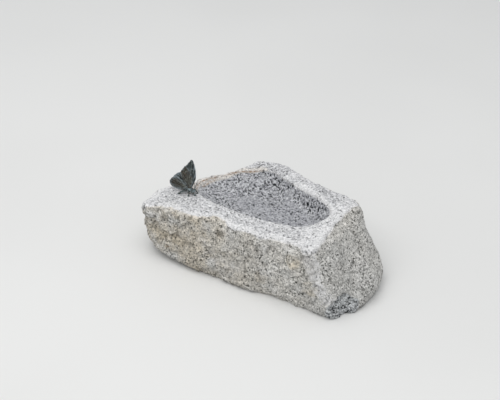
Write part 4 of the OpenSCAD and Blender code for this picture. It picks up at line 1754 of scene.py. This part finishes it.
@dataclass
class Butterfly:
    """The bronze butterfly: body, four wings, six legs and two antennae."""

    forewing: Sequence[Flat] = (
        (2.6, -1), (2.6, 0), (5.4, 7), (7.8, 13), (8.8, 18.5), (8.2, 25), (6.6, 32), (4, 39),
        (1.6, 43.4), (-0.6, 45), (-2.6, 43), (-3.6, 40), (-5.8, 38.6), (-6.6, 35.6), (-8.8, 34),
        (-9.4, 31), (-11.2, 29), (-11.2, 25), (-9.6, 20), (-7, 13), (-4.4, 6), (-2.4, 0), (-2.4, -1),
    )
    hindwing: Sequence[Flat] = (
        (0.6, -1), (0.6, 0), (-3, 6.6), (-7.4, 12.4), (-12, 17), (-16, 19.6), (-18.6, 20.4),
        (-20.6, 18.8), (-23.4, 17.6), (-25, 15), (-27.8, 13), (-29, 10), (-31.4, 7.6), (-31.4, 4.6),
        (-32, 2), (-31, -0.6), (-30, -1.8), (-27.4, -4), (-23, -5.2), (-16.6, -5.6), (-11, -4.8),
        (-7.2, -2.6), (-5.4, 0), (-3.6, 0), (-3.6, -1),
    )
    fore_veins: Sequence[Sequence[Flat]] = (
        ((0.6, 1), (4.6, 10), (7, 18), (6.8, 27)), ((1, 4), (3.4, 16), (4.6, 27), (4.8, 36)),
        ((0.6, 4), (0.6, 18), (0.8, 30), (-0.2, 43)), ((0.6, 18), (-1.2, 28), (-3.2, 40)),
        ((0.2, 14), (-3, 25), (-6.2, 36)), ((0, 9), (-4.4, 20), (-9, 32)),
        ((-0.6, 3), (-5, 13), (-10.6, 27)), ((3.4, 16), (0.6, 18)),
    )
    hind_veins: Sequence[Sequence[Flat]] = (
        ((-2, 1), (-7, 8.6), (-12.6, 14.6), (-18, 19.4)), ((-4.4, 3), (-12, 11), (-22.4, 17.2)),
        ((-4.4, 3), (-14, 9), (-26, 13.6)), ((-4.4, 2.6), (-15, 6.4), (-30, 8.6)),
        ((-5, 1.8), (-17, 3), (-31, 3.6)), ((-5.6, 0.8), (-18, -0.4), (-29.6, -1.4)),
        ((-7, -0.8), (-15, -3), (-24, -4.4)), ((-12, 11), (-14, 9)),
    )
    fore_inner: float = 0.49 * MM
    hind_inner: float = 1.56 * MM
    hind_rise: float = 0.2 * MM
    hind_border: float = 6.0 * MM
    leg_rows: Sequence[tuple[LegPlace, Point, Point, Flat, float]] = (
        (LegPlace.FRONT, (3.4, 2.05, 5.9), (7.4, 4.4, 5.2), (11.2, 3.2), 1.25),
        (LegPlace.MIDDLE, (0.3, 2.35, 5.9), (1.2, 5.6, 5.4), (2.6, 8.0), 1.25),
        (LegPlace.HIND, (-3.1, 1.95, 5.9), (-8.0, 4.8, 4.4), (-14.2, 7.4), 1.5),
    )
    antenna_root: Point = (7.78, 0.75, 6.4)
    antenna_aim: Point = (0.24, 0.16, 1.0)
    wing_finish: BronzeFinish = BronzeFinish("patinated_bronze_wing", 0.42)
    # The body's paler patina and bloom partly paint the highlight on the head and the front of the thorax.
    body_finish: BronzeFinish = BronzeFinish(
        "patinated_bronze_body", 0.60, patina=(0.18, 0.225, 0.235), bloom=(0.44, 0.53, 0.56))
    wire_finish: BronzeFinish = BronzeFinish(
        "patinated_bronze_wire", 0.60, patina=(0.11, 0.135, 0.135), bloom=(0.36, 0.42, 0.43))

    def wings(self) -> list[Wing]:
        """Lists the four wings. The hindwings lie outside the forewings."""
        made = []
        for side in Side:
            made.append(Wing(WingKind.FORE, side, self.forewing, self.fore_veins, self.fore_inner))
            made.append(Wing(WingKind.HIND, side, self.hindwing, self.hind_veins, self.hind_inner,
                             rise=self.hind_rise, border=self.hind_border))
        return made

    def legs(self) -> list[Leg]:
        """Lists the six legs."""
        return [Leg(place, side, hip, knee, foot, radius * MM)
                for place, hip, knee, foot, radius in self.leg_rows for side in Side]

    def antennae(self) -> list[Antenna]:
        """Lists the two antennae."""
        return [Antenna(side, self.antenna_root, self.antenna_aim) for side in Side]

    def build(self) -> None:
        """Builds all the pieces and dresses them."""
        wing, body, wire = (f.material() for f in (self.wing_finish, self.body_finish, self.wire_finish))
        ButterflyBody().build(body)
        for piece in self.wings():
            piece.build(wing)
        for piece in (*self.legs(), *self.antennae()):
            piece.build(wire)


@dataclass
class Fixing:
    """The stud and the resin that hold the butterfly. Their solids are right, so they are only dressed."""

    steel: SteelFinish = SteelFinish()
    resin: ResinFinish = ResinFinish()

    def dress(self) -> None:
        """Gives both solids their finish."""
        for node, finish in (("mounting_stud", self.steel), ("resin_anchor", self.resin)):
            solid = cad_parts[node]
            made = finish.material()
            for slot in solid.material_slots:
                slot.material = made
            LOG.info("%s: dressed", node)


@dataclass
class Studio:
    """Plain pale floor, soft light and the camera at the photograph's angle."""

    look_at: Point = (-73 * MM, 41.5 * MM, 50 * MM)
    azimuth: float = 35.0
    elevation: float = 34.0
    distance: float = 2.0
    lens: float = 96.0
    floor_shown: Colour = (0.80, 0.80, 0.79)
    floor_bounced: Colour = (0.50, 0.50, 0.49)
    sky: float = 0.55
    sky_shown: float = 0.85
    lamp_size: float = 2.2
    lamp_power: float = 27.0
    lamp_at: Point = (-0.05, -0.60, 2.0)
    lamp_colour: Colour = (1.0, 0.99, 0.975)
    sky_colour: Colour = (0.96, 0.98, 1.0)
    floor_size: float = 14.0
    floor_drop: float = 0.2 * MM

    def camera(self) -> None:
        """Sets up the camera."""
        a, e = math.radians(self.azimuth), math.radians(self.elevation)
        back = Vector((math.sin(a) * math.cos(e), -math.cos(a) * math.cos(e), math.sin(e)))
        data = bpy.data.cameras.new("camera")
        data.lens = self.lens
        data.sensor_width = 36.0
        data.clip_end = 50.0
        made = bpy.data.objects.new("camera", data)
        bpy.context.scene.collection.objects.link(made)
        made.location = Vector(self.look_at) + back * self.distance
        made.rotation_mode = "QUATERNION"
        made.rotation_quaternion = (-back).to_track_quat("-Z", "Y")
        bpy.context.scene.camera = made

    def lamp(self, name: str, place: Point, size: float, power: float, colour: Colour) -> None:
        """Adds one soft square lamp that faces the object.

        Args:
            name: the lamp's name.
            place: where it stands.
            size: the length of its side.
            power: its power in watts.
            colour: its colour.
        """
        data = bpy.data.lights.new(name, "AREA")
        data.size = size
        data.energy = power
        data.color = colour
        made = bpy.data.objects.new(name, data)
        bpy.context.scene.collection.objects.link(made)
        made.location = place
        made.rotation_mode = "QUATERNION"
        made.rotation_quaternion = (Vector((0, 0, 0.05)) - Vector(place)).to_track_quat("-Z", "Y")

    def seen_share(self, graph: Graph) -> bpy.types.NodeSocket:
        """Gives 1 for what the camera sees, straight or in a reflection, and 0 for bounced light."""
        path = graph.node("ShaderNodeLightPath")
        seen = graph.math("MAXIMUM", path.outputs["Is Camera Ray"], path.outputs["Is Glossy Ray"])
        return graph.math("MAXIMUM", seen, path.outputs["Is Transmission Ray"])

    def floor(self) -> None:
        """Adds the floor, a wide sheet whose colour shows nearly white."""
        deselect_all()
        bpy.ops.mesh.primitive_plane_add(size=self.floor_size, location=(0, 0, -self.floor_drop))
        sheet = bpy.context.object
        sheet.name = "studio_floor"
        sheet.data.transform(Matrix.Translation(sheet.location))
        sheet.location = (0, 0, 0)
        material, graph, shader, place = start_material("studio_floor")
        cloud = graph.between(graph.noise(place, 0.6, 2.0, 0.5), 0.4, 0.6)
        shown = graph.blend(cloud, self.floor_shown, tuple(c + 0.02 for c in self.floor_shown))
        colour = graph.blend(self.seen_share(graph), self.floor_bounced, shown)
        graph.feed(shader.inputs["Base Color"], colour)
        shader.inputs["Roughness"].default_value = 0.9
        sheet.data.materials.append(material)

    def light(self) -> None:
        """Sets up the world and the lamps."""
        world = bpy.data.worlds.new("studio")
        bpy.context.scene.world = world
        world.use_nodes = True
        graph = Graph(world.node_tree)
        sky = graph.node("ShaderNodeBackground")
        graph.feed(sky.inputs["Color"], self.sky_colour)
        reach = graph.times(self.seen_share(graph), self.sky_shown - self.sky)
        graph.feed(sky.inputs["Strength"], graph.plus(self.sky, reach))
        out = graph.node("ShaderNodeOutputWorld")
        graph.feed(out.inputs["Surface"], sky.outputs["Background"])
        self.lamp("overhead", self.lamp_at, self.lamp_size, self.lamp_power, self.lamp_colour)

    def build(self) -> None:
        """Sets up everything round the object."""
        self.camera()
        self.floor()
        self.light()
        bpy.context.scene.view_settings.view_transform = "Standard"


def main() -> None:
    """Builds the object and its setting in order."""
    logging.basicConfig(level=logging.INFO, format="%(name)s %(message)s")
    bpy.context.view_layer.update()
    Studio().build()
    GraniteBlock().build()
    Butterfly().build()
    Fixing().dress()


if __name__ == "__main__":
    main()
